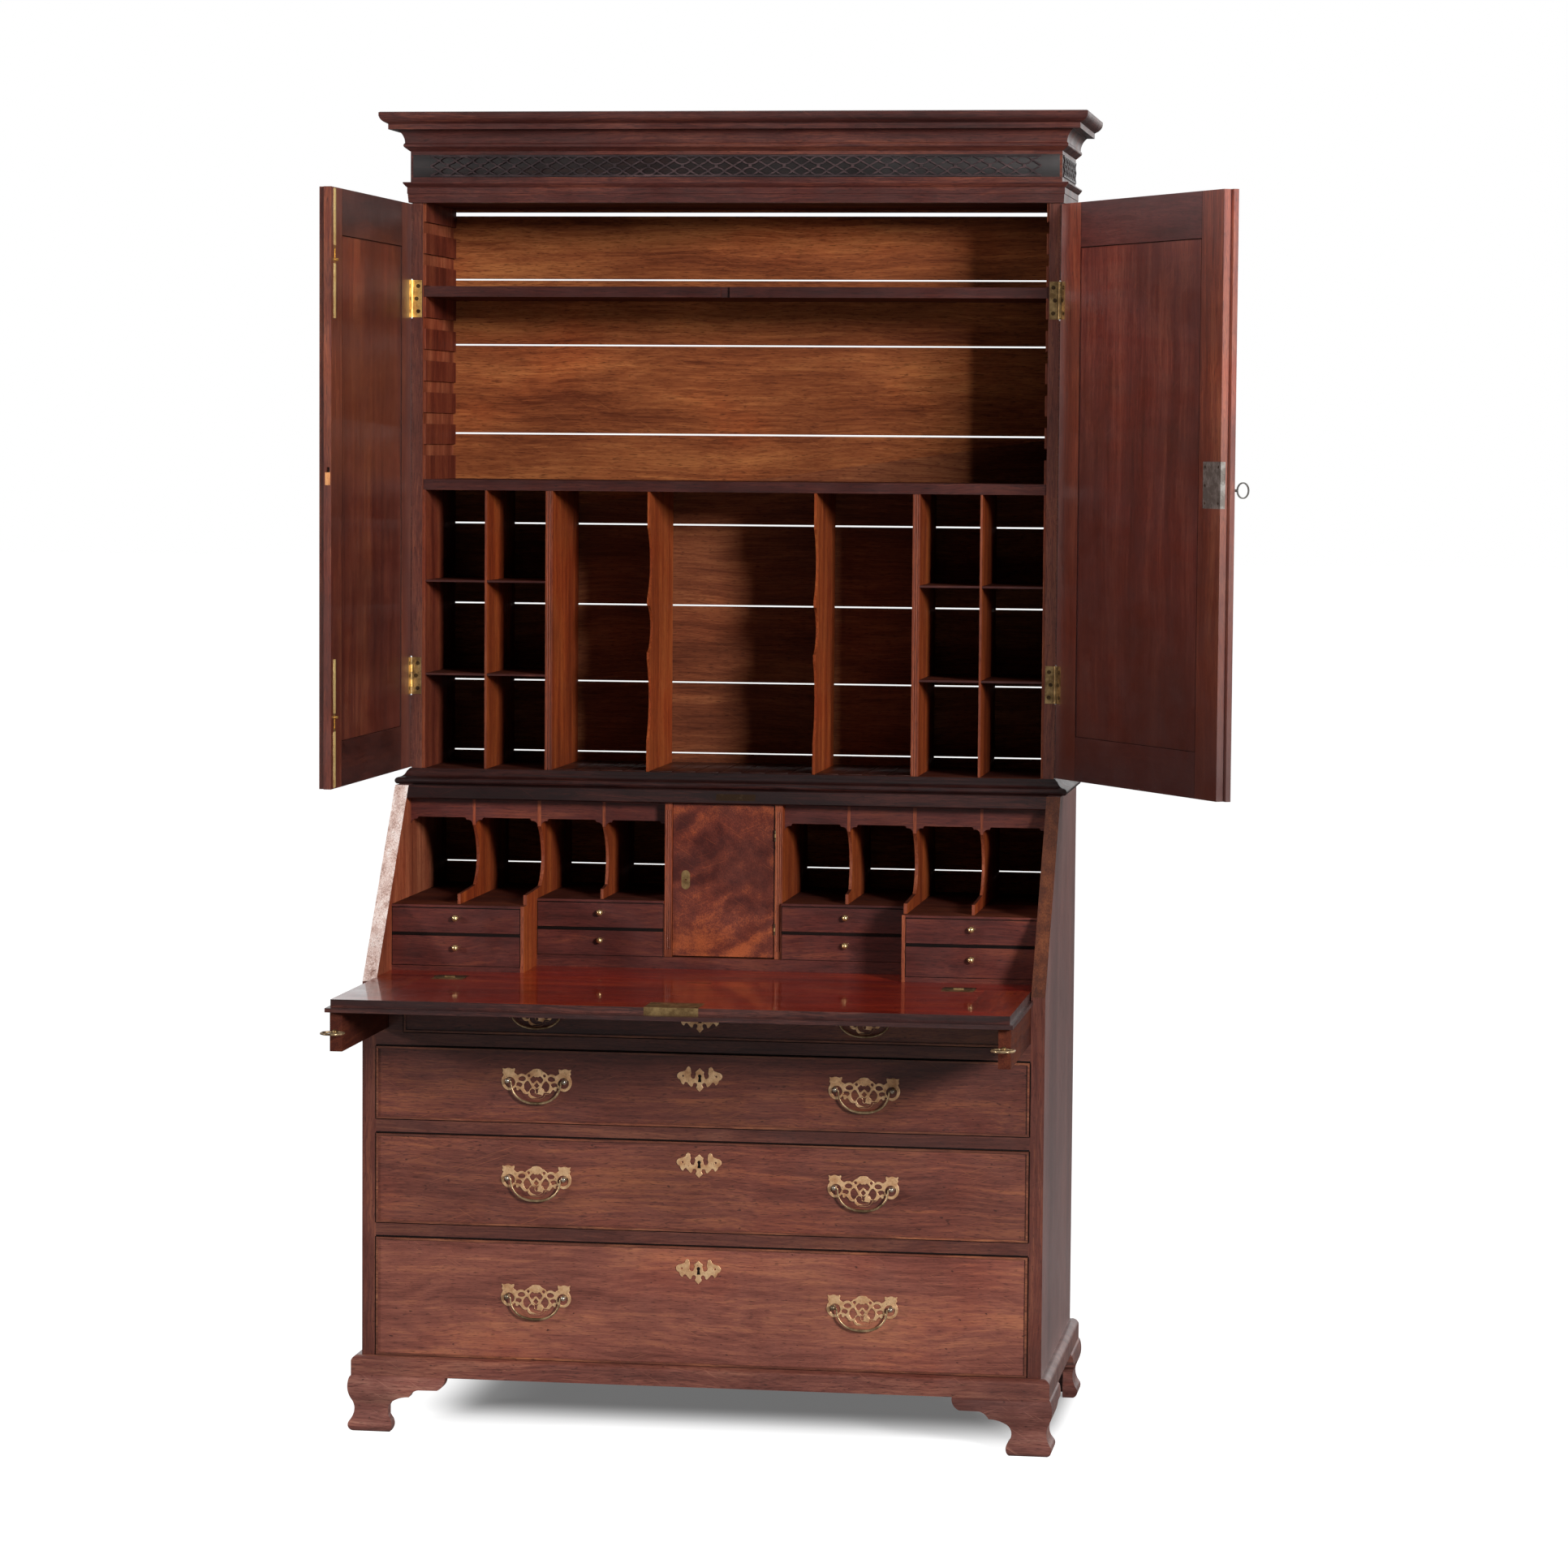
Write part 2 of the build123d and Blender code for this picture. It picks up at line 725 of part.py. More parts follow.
def front_foot():
    """Right front foot: two ogee brackets mitred at the corner, in one."""
    corner_x = case_half_width + base_mould_projection
    corner_y = -base_mould_projection
    reach = corner_x + foot_spread
    inner = corner_x - foot_spread
    across = slab_y(ogee_region(corner_x, inner), corner_y - foot_wall, corner_y + foot_spread)
    front_face = mirror(ogee_region(-corner_y, -foot_spread - corner_y), about=Plane.YZ)
    along = slab_x(front_face, inner, reach)
    block = across & along
    hollow = board(
        inner - cut_overrun, corner_x - foot_wall, corner_y + foot_wall,
        corner_y + foot_spread + cut_overrun, -cut_overrun, foot_height + cut_overrun,
    )
    walls = block - hollow
    front_cut = slab_y(bracket_outline(corner_x, -1), corner_y - foot_wall, corner_y + foot_wall)
    side_cut = slab_x(bracket_outline(corner_y, 1), corner_x - foot_wall, reach)
    return [(walls & front_cut) + (walls & side_cut)]


def rear_foot():
    """Right rear foot: one ogee bracket on the end and a plain board across the back."""
    corner_x = case_half_width + base_mould_projection
    inner = corner_x - foot_wall
    end_y = case_depth
    side = slab_y(ogee_region(corner_x, inner), end_y - foot_spread, end_y)
    side = side & slab_x(bracket_outline(end_y, -1), inner, corner_x + foot_spread)
    back = slab_y(bracket_outline(corner_x, -1), end_y - rear_foot_board, end_y)
    back = back & board(corner_x - foot_spread, inner, 0, end_y, 0, foot_height)
    return [side, back]


def bracket_feet():
    """Four bracket feet with glued blocks behind them."""
    corner_x = case_half_width + base_mould_projection - foot_wall
    front_y = foot_wall - base_mould_projection
    block_reach = foot_block_width
    block_top = chest_floor_level - bottom_board_thickness
    lift = foot_wall / 2
    inner_x = corner_x - block_reach
    front_block = board(inner_x, corner_x, front_y, front_y + block_reach, lift, foot_height)
    rear_y = case_depth - rear_foot_board
    rear_block = board(inner_x, corner_x, rear_y - block_reach, rear_y, lift, foot_height)
    cleat = board(
        case_inner - block_reach, case_inner, foot_spread, case_depth - foot_spread,
        foot_height, block_top,
    )
    return both_sides(front_foot() + rear_foot() + [front_block, rear_block, cleat])


# Long drawers and their brasses


def long_drawer(index):
    """Cock-beaded front with sides, back and bottom behind it."""
    low, high = drawer_levels()[index]
    slot = loper_upright_inner if index == len(long_drawer_heights) - 1 else case_inner
    half = slot - drawer_gap
    front = board(
        bead_width - half, half - bead_width, 0, front_thickness, low + bead_width, high - bead_width,
    )
    bead = board(-half, half, -bead_proud, bead_depth, low, high) - board(
        bead_width - half, half - bead_width, -bead_proud - cut_overrun, bead_depth + cut_overrun,
        low + bead_width, high - bead_width,
    )
    side_low = low - drawer_gap + fit_gap
    side_high = high - drawer_side_drop
    if index == len(long_drawer_heights) - 1:
        side_high = high - drawer_side_drop / 2
    rear = drawer_length
    side_inner = half - drawer_side_thickness
    backing = board(
        -half, half, bead_depth, front_thickness, low, low + bead_width,
    )
    side = board(side_inner, half, front_thickness, rear, side_low, side_high)
    back = board(-side_inner, side_inner, rear - drawer_back_thickness, rear, side_low, side_high)
    floor_low = low + bead_width
    bottom = board(
        -side_inner, side_inner, front_thickness, rear - drawer_back_thickness,
        floor_low, floor_low + drawer_bottom_thickness,
    )
    hole_z = low + keyhole_rises[index]
    keyhole = rod_y(0, hole_z, keyhole_radius, -cut_overrun, front_thickness / 2)
    return [front - keyhole, bead, backing] + both_sides([side]) + [back, bottom]


def willow_plate(x, z):
    """Pierced back plate of one handle."""
    half = plate_half_width
    solid_shares = [
        (0.0, 0.24, 0.21), (0.79, -0.03, 0.2), (0.41, 0.1, 0.14), (0.0, -0.26, 0.21), (0.23, 0.02, 0.2),
    ]
    hole_shares = [(0.79, -0.03, 0.115), (0.43, 0.1, 0.07), (0.22, 0.19, 0.04)]
    lobes = []
    for a, b, r in solid_shares:
        for sign in ((-1, 1) if a else (1,)):
            lobes.append(Pos(sign * a * half, b * half) * Circle(r * half))
    ear_shares = [
        (0.62, 0.1), (0.7, 0.46), (0.76, 0.37), (0.84, 0.46), (0.9, 0.39), (1.0, 0.42), (0.93, 0.08),
    ]
    wing_shares = [(0.0, 0.2), (0.62, 0.12), (0.66, -0.22), (0.32, -0.4), (0.0, -0.3)]
    for shares in (ear_shares, wing_shares):
        for sign in (-1, 1):
            lobes.append(face_of([(sign * a * half, b * half) for a, b in shares]))
    plate = Sketch() + lobes
    holes = [
        Pos(sign * a * half, b * half) * Circle(r * half) for a, b, r in hole_shares for sign in (-1, 1)
    ]
    diamond_shares = [(0.0, 0.13), (0.11, -0.02), (0.0, -0.15), (-0.11, -0.02)]
    side_shares = [(0.16, 0.1), (0.3, -0.02), (0.2, -0.22), (0.13, -0.09)]
    lower_shares = [(0.4, -0.05), (0.56, -0.06), (0.54, -0.2), (0.38, -0.26)]
    holes.append(face_of([(a * half, b * half) for a, b in diamond_shares]))
    for shares in (side_shares, lower_shares):
        for sign in (-1, 1):
            holes.append(face_of([(sign * a * half, b * half) for a, b in shares]))
    low_hole_shares = (-0.29, 0.12)
    holes.append(Pos(0, low_hole_shares[0] * half) * Circle(low_hole_shares[1] * half))
    plate = plate - holes
    return slab_y(Pos(x, z) * plate, -plate_thickness, 0)


def handle_post(x, z, sign):
    """Turned post with a bored ball that holds one end of the bail."""
    post = ball_and_stem(x, z, -bail_stand_off, post_ball_radius, post_radius, 0)
    bore_radius = bail_wire_radius + pin_clearance
    start = x - sign * (post_ball_radius + cut_overrun)
    end = x + sign * post_ball_radius / 2
    bore = rod_x(-bail_stand_off, z, bore_radius, min(start, end), max(start, end))
    return post - bore


def handle_plate_and_posts(x, z, plate_top):
    """Plate with a post through each outer loop, cut off where the drawer front ends."""
    posts = [handle_post(x + sign * post_spacing_half, z, sign) for sign in (-1, 1)]
    plate = willow_plate(x, z) & board(
        x - 2 * plate_half_width, x + 2 * plate_half_width, -plate_thickness, 0,
        z - plate_half_width, plate_top,
    )
    for sign in (-1, 1):
        plate = plate + rod_y(x + sign * post_spacing_half, z, post_boss_radius, -plate_thickness, 0)
        plate = plate - rod_y(x + sign * post_spacing_half, z, post_radius, -plate_thickness, 0)
    return [plate] + posts


def bail(x, z):
    """Swan-necked bail, its ends turned outwards into the posts."""
    y = -bail_stand_off
    end = post_spacing_half
    points = [
        (end, 0), (bail_waist_half, 0), (bail_belly_half, -bail_drop * bail_belly_share),
        (bail_bottom_half, -bail_drop),
    ]
    route = [(x + a, y, z + b) for a, b in points]
    route += [(x - a, y, z + b) for a, b in reversed(points)]
    radii = [bail_corner_radius, bail_bend_radius, bail_bottom_bend_radius]
    path = FilletPolyline(*route, radius=radii + list(reversed(radii)))
    section = Plane(origin=path @ 0, z_dir=path % 0) * Circle(bail_wire_radius)
    return sweep(section, path=path)


def escutcheon(z):
    """Pierced keyhole plate."""
    half = escutcheon_half_width
    shield_shares = [
        (0.0, 0.45), (0.2, 0.28), (0.34, 0.36), (0.44, 0.58), (0.56, 0.62), (0.62, 0.4), (0.9, 0.3),
        (1.0, 0.08), (0.84, -0.12), (0.7, -0.3), (0.56, -0.12), (0.28, -0.3), (0.0, -0.58),
    ]
    outline = [(a * half, b * half) for a, b in shield_shares]
    outline += [(-a * half, b * half) for a, b in reversed(shield_shares[1:-1])]
    plate = Sketch() + face_of(outline)
    notch_shares = [(0.3, 0.2, 0.1), (0.22, -0.26, 0.085), (0.74, 0.12, 0.05)]
    cuts = [Pos(s * a * half, b * half) * Circle(r * half) for a, b, r in notch_shares for s in (-1, 1)]
    slot = Pos(0, -keyhole_radius) * Rectangle(keyhole_radius, keyhole_radius * 3)
    keyhole = Circle(keyhole_radius) + slot
    plate = plate - cuts - keyhole
    return slab_y(Pos(0, z) * plate, -plate_thickness, 0)


def drawer_brass(index):
    """Two back plates with their posts, and the keyhole plate, for one drawer."""
    low, high = drawer_levels()[index]
    z = low + handle_rises[index]
    plate_top = min(z + plate_half_width, high - bead_width - face_gap)
    plates = []
    for sign in (-1, 1):
        plates += handle_plate_and_posts(sign * handle_centre_x, z, plate_top)
    return plates + [escutcheon(low + keyhole_rises[index])]


# Lopers


def loper():
    """Right loper with its ring's post."""
    low = loper_top_level - loper_height
    inner = loper_outer - loper_thickness
    bar = board(inner, loper_outer, loper_front_y, loper_front_y + loper_length, low, loper_top_level)
    x, z = loper_ring_place()
    ball_y = loper_front_y - ring_post_length
    post = ball_and_stem(x, z, ball_y, ring_post_radius, ring_stem_radius, loper_front_y)
    bore = rod_x(ball_y, z, ring_wire_radius + pin_clearance, x - ring_axis_length, x + ring_axis_length)
    return [bar, post - bore]


def loper_ring_place():
    """Middle of the loper's front end."""
    return loper_outer - loper_thickness / 2, loper_top_level - loper_height / 2


def loper_ring():
    """Ring that hangs by the post, held out level here."""
    x, z = loper_ring_place()
    hinge_y = loper_front_y - ring_post_length
    half = ring_outer_radius - ring_wire_radius
    side = ring_axis_length - ring_wire_radius
    bend_shares = [(1.0, 0.42), (1.0, 1.3), (0.5, 1.9)]
    points = [(face_gap / 2, 0), (side, 0)] + [(half * a, -half * b) for a, b in bend_shares]
    route = [(x + a, hinge_y + b, z) for a, b in points]
    route += [(x - a, hinge_y + b, z) for a, b in reversed(points)]
    bend = half / 2
    radii = [ring_corner_radius] + [bend] * (len(route) - 4) + [ring_corner_radius]
    path = FilletPolyline(*route, radius=radii)
    section = Plane(origin=path @ 0, z_dir=path % 0) * Circle(ring_wire_radius)
    return [sweep(section, path=path)]


# Hinges


def hinge_half(plane, length, count, radius, pin, owned, leaf_width, leaf_low, leaf_high):
    """One leaf with its knuckles: the set that holds the pin, or the set bored for it.

    The plane's Z runs along the hinge's axis and its X along the leaf.
    """
    share = length / count
    solid = None
    leaf_start = radius + 2 * fit_gap
    for index in range(owned, count, 2):
        low = index * share - length / 2 + face_gap / 2
        high = low + share - face_gap
        knuckle = rod_z(0, 0, radius, low, high)
        knuckle = knuckle + board(0, leaf_start, leaf_low, leaf_high, low, high)
        solid = knuckle if solid is None else solid + knuckle
    solid = solid + board(
        leaf_start, leaf_width, leaf_low, leaf_high,
        face_gap / 2 - length / 2, length / 2 - face_gap / 2,
    )
    if owned == 0:
        solid = solid + rod_z(0, 0, pin, -length / 2 + face_gap / 2, length / 2 - face_gap / 2)
    else:
        solid = solid - rod_z(0, 0, pin + pin_clearance, -length, length)
    return plane * solid


def hinge_pocket(plane, length, radius, leaf_width, leaf_low, leaf_high):
    """Wood cut away for one leaf and for the knuckles."""
    leaf = board(0, leaf_width, leaf_low, leaf_high, -length / 2, length / 2)
    room = length / 2 + fit_gap
    return plane * (leaf + rod_z(0, 0, radius + fit_gap, -room, room))


def fall_hinge_plane(x, sign):
    """Axis across the piece at the back edge of the fall; the leaf runs back or forward."""
    return Plane(origin=(x, fall_hinge_y, desk_level), x_dir=(0, sign, 0), z_dir=(1, 0, 0))


def fall_leaf_levels(sign):
    """Where a fall hinge's leaf lies, let in flush with the writing surface."""
    if sign > 0:
        return (-hinge_leaf_thickness, 0)
    return (0, hinge_leaf_thickness)


def fall_hinge_recess(x, sign):
    """Cut for one fall hinge."""
    return hinge_pocket(
        fall_hinge_plane(x, sign), fall_hinge_length, fall_knuckle_radius, fall_leaf_width,
        *fall_leaf_levels(sign),
    )


def fall_hinge_leaf(x, sign):
    """One half of a fall hinge."""
    return hinge_half(
        fall_hinge_plane(x, sign), fall_hinge_length, small_knuckle_count, fall_knuckle_radius,
        hinge_pin_radius, 0 if sign > 0 else 1, fall_leaf_width, *fall_leaf_levels(sign),
    )


def door_hinge_plane(level):
    """Axis of the right door's hinge; the leaf runs towards the middle."""
    return Plane(origin=(door_hinge_x, door_hinge_y, level), x_dir=(-1, 0, 0), z_dir=(0, 0, 1))


def door_leaf_levels(owned):
    """Where a door hinge's leaf lies, one each side of the gap."""
    if owned == 0:
        return (-fit_gap - hinge_leaf_thickness, -fit_gap)
    return (fit_gap, fit_gap + hinge_leaf_thickness)


def door_hinge_leaf(level, owned):
    """One half of a door hinge."""
    return hinge_half(
        door_hinge_plane(level), hinge_height, knuckle_count, knuckle_radius, hinge_pin_radius,
        owned, hinge_leaf_width, *door_leaf_levels(owned),
    )


def door_hinge_pocket(level, owned):
    """Cut for one half of a door hinge."""
    return hinge_pocket(
        door_hinge_plane(level), hinge_height, knuckle_radius, hinge_leaf_width,
        *door_leaf_levels(owned),
    )


def prospect_hinge_plane(level):
    """Axis of the prospect door's hinge; the leaf runs back into the edge."""
    return Plane(
        origin=(prospect_hinge_x, prospect_hinge_y, level), x_dir=(0, 1, 0), z_dir=(0, 0, 1),
    )


def prospect_leaf_levels(owned):
    """Where a prospect hinge's leaf lies, one each side of the gap."""
    if owned == 0:
        return (-fit_gap - prospect_leaf_thickness, -fit_gap)
    return (fit_gap, fit_gap + prospect_leaf_thickness)


def prospect_hinge_leaf(level, owned):
    """One half of a prospect door hinge."""
    return hinge_half(
        prospect_hinge_plane(level), prospect_hinge_height, small_knuckle_count,
        prospect_knuckle_radius, prospect_knuckle_radius / 2, owned, prospect_leaf_width,
        *prospect_leaf_levels(owned),
    )


def prospect_hinge_pocket(level, owned):
    """Cut for one half of a prospect door hinge."""
    return hinge_pocket(
        prospect_hinge_plane(level), prospect_hinge_height, prospect_knuckle_radius,
        prospect_leaf_width, *prospect_leaf_levels(owned),
    )


# Fall


def fall_board():
    """Fall with a mitred clamp at each end and a lip along three edges, lying open."""
    rear = fall_hinge_y
    body_front = rear - fall_length
    lip_front = body_front - fall_front_lip
    lip_rear = -fall_side_gap
    half = case_inner - fall_side_gap
    under = desk_level - fall_body_thickness
    bottom = desk_level - fall_thickness
    whole = board(-half, half, body_front, rear, under, desk_level)
    whole = whole + board(-half, half, body_front, rear, bottom, under)
    lip_half = half + fall_lip_width
    whole = whole + board(-lip_half, lip_half, lip_front, lip_rear, bottom, under)
    for x in (-fall_hinge_centre, fall_hinge_centre):
        whole = whole - fall_hinge_recess(x, -1)
    whole = whole - fall_lock_plate()
    inner = half - fall_clamp_width
    far = lip_half + cut_overrun
    clamp_region = slab_z(
        face_of([
            (inner, body_front + fall_clamp_width), (inner, rear + cut_overrun),
            (far, rear + cut_overrun), (far, body_front + half - far),
        ]),
        bottom - cut_overrun, desk_level + cut_overrun,
    )
    clamp = whole & clamp_region
    centre = whole - clamp_region - mirror(clamp_region, about=Plane.YZ)
    return [centre] + both_sides([clamp])


def fall_lock_plate():
    """Plate of the fall's lock, let in flush and turned down over the front edge."""
    front = fall_hinge_y - fall_length
    top = board(
        *fall_lock_x, front, front + fall_lock_depth, desk_level - fitting_thickness, desk_level,
    )
    return top + board(
        *fall_lock_x, front, front + fitting_thickness, desk_level - fall_body_thickness,
        desk_level,
    )


def fall_brass():
    """Moving leaves of the fall's hinges and its lock plate."""
    return both_sides([fall_hinge_leaf(fall_hinge_centre, -1)]) + [fall_lock_plate()]


def keeper_plate():
    """Small plate let into the writing bed's front edge."""
    return board(
        *keeper_x, fall_hinge_y, fall_hinge_y + keeper_depth, desk_level - fitting_thickness,
        desk_level,
    )


def strike_plate():
    """Plate that takes the fall's lock, let into the desk top's sloping edge."""
    low, high = strike_along
    deep = seat_offset - fitting_thickness
    return slab_x(
        face_of([
            on_slope(low, deep), on_slope(high, deep), on_slope(high, seat_offset),
            on_slope(low, seat_offset),
        ]),
        *strike_x,
    )


# Gallery of the desk


def divider_face(low_front, tongue_front, foot, shelf):
    """Side view of an upright with its scrolled front edge."""
    head_low = shelf + (desk_top_bottom - shelf) * scroll_head_share
    tongue_top = shelf + (desk_top_bottom - shelf) * scroll_tongue_share
    waist_level = (head_low + tongue_top) / 2
    reach = divider_waist_y - tongue_front
    knee = (tongue_front + reach * scroll_knee_share, tongue_top + cut_overrun)
    lower = ThreePointArc(
        (tongue_front, tongue_top), (tongue_front + reach / 3, tongue_top + cut_overrun / 3), knee,
    )
    bend_y = knee[0] + (divider_waist_y - knee[0]) * scroll_knee_share
    bend = (bend_y, (knee[1] + waist_level) / 2)
    sweep_up = ThreePointArc(knee, bend, (divider_waist_y, waist_level))
    over = ThreePointArc(
        (divider_waist_y, waist_level),
        (
            (divider_waist_y + divider_head_y) / 2 + cut_overrun,
            (waist_level + head_low) / 2 + cut_overrun,
        ),
        (divider_head_y, head_low),
    )
    points = [
        (divider_head_y, head_low), (divider_head_y, desk_top_bottom),
        (gallery_back_y, desk_top_bottom), (gallery_back_y, foot),
    ]
    if foot < shelf:
        points += [(low_front, foot), (low_front, shelf)]
    points += [(tongue_front, shelf), (tongue_front, tongue_top)]
    return make_face([lower, sweep_up, over, Polyline(*points)])


def small_drawer_tiers(base, heights):
    """Bottom and top of each small drawer's front, from the lowest up."""
    tiers = []
    low = desk_level + base + fit_gap
    for height in heights:
        tiers.append((low, low + height))
        low = low + height + 2 * fit_gap + gallery_rail
    return tiers


def outer_tiers():
    """Levels of the outer small drawers."""
    return small_drawer_tiers(outer_base_height, [outer_lower_height, outer_upper_height])


def inner_tiers():
    """Levels of the inner small drawers."""
    return small_drawer_tiers(inner_base_height, [inner_lower_height, inner_upper_height])


def gallery_section(x_low, x_high, front, base, tiers):
    """Base, rail between drawers and shelf over them for one section."""
    pieces = [board(x_low, x_high, front, gallery_back_y, desk_level, desk_level + base)]
    rail_low = tiers[0][1] + fit_gap
    pieces.append(board(x_low, x_high, front, gallery_back_y, rail_low, rail_low + gallery_rail))
    shelf_low = tiers[1][1] + fit_gap
    pieces.append(board(
        x_low, x_high, front, gallery_back_y, shelf_low, shelf_low + gallery_shelf,
    ))
    return pieces


def gallery_carcass():
    """Uprights, shelves, bases and pilasters of the gallery."""
    outer_shelf = outer_tiers()[1][1] + fit_gap + gallery_shelf
    inner_shelf = inner_tiers()[1][1] + fit_gap + gallery_shelf
    half_board = gallery_board / 2
    boundary = slab_x(
        divider_face(outer_front_y, outer_tongue_y, desk_level, outer_shelf),
        section_half - half_board, section_half + half_board,
    )
    pieces = [boundary]
    half_thin = gallery_thin_board / 2
    for x, front, tongue, shelf in (
        (outer_divider_x, outer_tongue_y, outer_tongue_y, outer_shelf),
        (inner_divider_x, inner_tongue_y, inner_tongue_y, inner_shelf),
    ):
        face = divider_face(front, tongue, shelf, shelf)
        pieces.append(slab_x(face, x - half_thin, x + half_thin))
    pieces += gallery_section(
        section_half + half_board, case_inner, outer_front_y, outer_base_height, outer_tiers(),
    )
    inner = gallery_section(
        pilaster_outer, section_half - half_board, inner_front_y, inner_base_height, inner_tiers(),
    )
    pieces += inner[1:]
    base_top = desk_level + inner_base_height
    wall_back = pilaster_front_y + pilaster_depth
    pilaster = board(
        pilaster_inner, pilaster_outer, pilaster_front_y, wall_back, base_top, desk_top_bottom,
    )
    for share in pilaster_groove_shares:
        pilaster = pilaster - rod_z(
            pilaster_inner + pilaster_width * share, pilaster_front_y, pilaster_groove_radius,
            base_top + pilaster_width, desk_top_bottom - pilaster_width,
        )
    for level in prospect_hinge_levels:
        pilaster = pilaster - prospect_hinge_pocket(level, 0)
    left_pilaster = mirror(board(
        pilaster_inner, pilaster_outer, pilaster_front_y, wall_back, base_top, desk_top_bottom,
    ), about=Plane.YZ)
    for share in pilaster_groove_shares:
        left_pilaster = left_pilaster - rod_z(
            -pilaster_inner - pilaster_width * share, pilaster_front_y, pilaster_groove_radius,
            base_top + pilaster_width, desk_top_bottom - pilaster_width,
        )
    walls = [
        board(low, low + gallery_thin_board, wall_back, gallery_back_y, base_top, desk_top_bottom)
        for low in (pilaster_inner, pilaster_outer - gallery_thin_board)
    ]
    middle_base = board(
        half_board - section_half, section_half - half_board, inner_front_y, gallery_back_y,
        desk_level, base_top,
    )
    return both_sides(pieces + walls) + [pilaster, left_pilaster, middle_base]


def valance(x_low, x_high):
    """Board with a scalloped lower edge, hung under the desk top between two uprights."""
    width = x_high - x_low
    top = desk_top_bottom
    edge_shares = [
        (0.0, 1.353), (0.025, 1.19), (0.09, 1.12), (0.105, 1.12), (0.115, 1.03), (0.15, 1.0),
    ]
    points = [(x_low + width * a, top - valance_drop * b) for a, b in edge_shares]
    other = [(x_high - width * a, top - valance_drop * b) for a, b in edge_shares]
    curves = [Line(points[5], other[5])]
    for side in (points, other):
        curves += [ThreePointArc(*side[:3]), Line(side[2], side[3]), ThreePointArc(*side[3:])]
    rest = Polyline(other[0], (x_high, top), (x_low, top), points[0])
    return slab_y(
        make_face(curves + [rest]), divider_head_y + fit_gap,
        divider_head_y + fit_gap + valance_thickness,
    )


def gallery_valances():
    """Eight scalloped valances over the pigeonholes."""
    half_board = gallery_board / 2
    half_thin = gallery_thin_board / 2
    bays = [
        (pilaster_outer, inner_divider_x - half_thin),
        (inner_divider_x + half_thin, section_half - half_board),
        (section_half + half_board, outer_divider_x - half_thin),
        (outer_divider_x + half_thin, case_inner),
    ]
    return both_sides([valance(low, high) for low, high in bays])


def small_drawer(x_low, x_high, front, length, levels):
    """Small drawer with a turned brass knob, on the right-hand side."""
    low, high = levels
    rear = front + length
    x_low, x_high = x_low + fit_gap, x_high - fit_gap
    body_front = front + small_front_thickness
    side_high = high - small_side_thickness
    face = board(x_low, x_high, front, body_front, low, high)
    sides = [
        board(x, x + small_side_thickness, body_front, rear, low, side_high)
        for x in (x_low, x_high - small_side_thickness)
    ]
    inner_low, inner_high = x_low + small_side_thickness, x_high - small_side_thickness
    back = board(inner_low, inner_high, rear - small_side_thickness, rear, low, side_high)
    bottom = board(
        inner_low, inner_high, body_front, rear - small_side_thickness, low,
        low + small_side_thickness / 2,
    )
    x, z = (x_low + x_high) / 2, low + (high - low) * knob_height_share
    ball_y = front - knob_length + knob_radius
    knob = ball_and_stem(x, z, ball_y, knob_radius, knob_neck_radius, front)
    knob = knob + rod_y(x, z, knob_radius * 3 / 4, front - small_side_thickness / 4, front)
    return [face] + sides + [back, bottom, knob]


def prospect_board():
    """Right-hinged door of the central cupboard."""
    wood = board(
        prospect_gap - pilaster_inner, pilaster_inner - prospect_gap, prospect_front_y,
        prospect_front_y + prospect_thickness, prospect_low, prospect_high,
    )
    for level in prospect_hinge_levels:
        wood = wood - prospect_hinge_pocket(level, 1)
    return [wood - prospect_plate(fitting_thickness)]


def prospect_plate(depth):
    """Oval-ended keyhole plate let into the prospect door."""
    slot = SlotOverall(prospect_plate_height, prospect_plate_width, rotation=90)
    place = Pos(-prospect_plate_shift, prospect_plate_level)
    return slab_y(place * slot, prospect_front_y, prospect_front_y + depth)


def prospect_brass():
    """Moving hinge leaves and keyhole plate of the prospect door."""
    leaves = [prospect_hinge_leaf(level, 1) for level in prospect_hinge_levels]
    hole = rod_y(
        -prospect_plate_shift, prospect_plate_level, keyhole_radius / 2, prospect_front_y,
        prospect_front_y + fitting_thickness,
    )
    return leaves + [prospect_plate(fitting_thickness) - hole]


# Bookcase


def bookcase_sides():
    """Two sides, lined inside, with a ladder of grooves for the adjustable shelf."""
    side = board(
        bookcase_board_x, bookcase_half_width, bookcase_front_y, case_depth, desk_top_level,
        bookcase_top_level,
    )
    for level in hinge_levels:
        side = side - door_hinge_pocket(level, 0)
    front = bookcase_front_y + ladder_set_back
    pieces = [side, board(
        bookcase_inner, bookcase_board_x, front, case_back_inner, bookcase_floor_level,
        fixed_shelf_bottom,
    )]
    low = fixed_shelf_bottom + shelf_thickness
    for index in range(groove_count + 1):
        bottom = first_groove_bottom + groove_pitch * index
        high = bottom if index < groove_count else bookcase_top_level
        pieces.append(board(
            bookcase_inner, bookcase_board_x, front, case_back_inner, low, high,
        ))
        low = bottom + groove_height
    return both_sides(pieces)


def bookcase_boards():
    """Base board, fixed shelf and top board."""
    front = bookcase_front_y + ladder_set_back
    return [
        board(
            -bookcase_board_x, bookcase_board_x, bookcase_front_y, case_back_inner,
            desk_top_level, bookcase_floor_level,
        ),
        board(
            -bookcase_board_x, bookcase_board_x, front, case_back_inner, fixed_shelf_bottom,
            fixed_shelf_bottom + shelf_thickness,
        ),
        board(
            -frieze_inner_x, frieze_inner_x, frieze_inner_y, case_back_inner,
            bookcase_top_level, bookcase_top_level + top_board_thickness,
        ),
    ]


def bookcase_back_boards():
    """Oak boards across the back, shrunk apart."""
    return stacked_boards(
        back_gap_shares, desk_top_level, bookcase_top_level, bookcase_board_x, back_gap_top,
    )


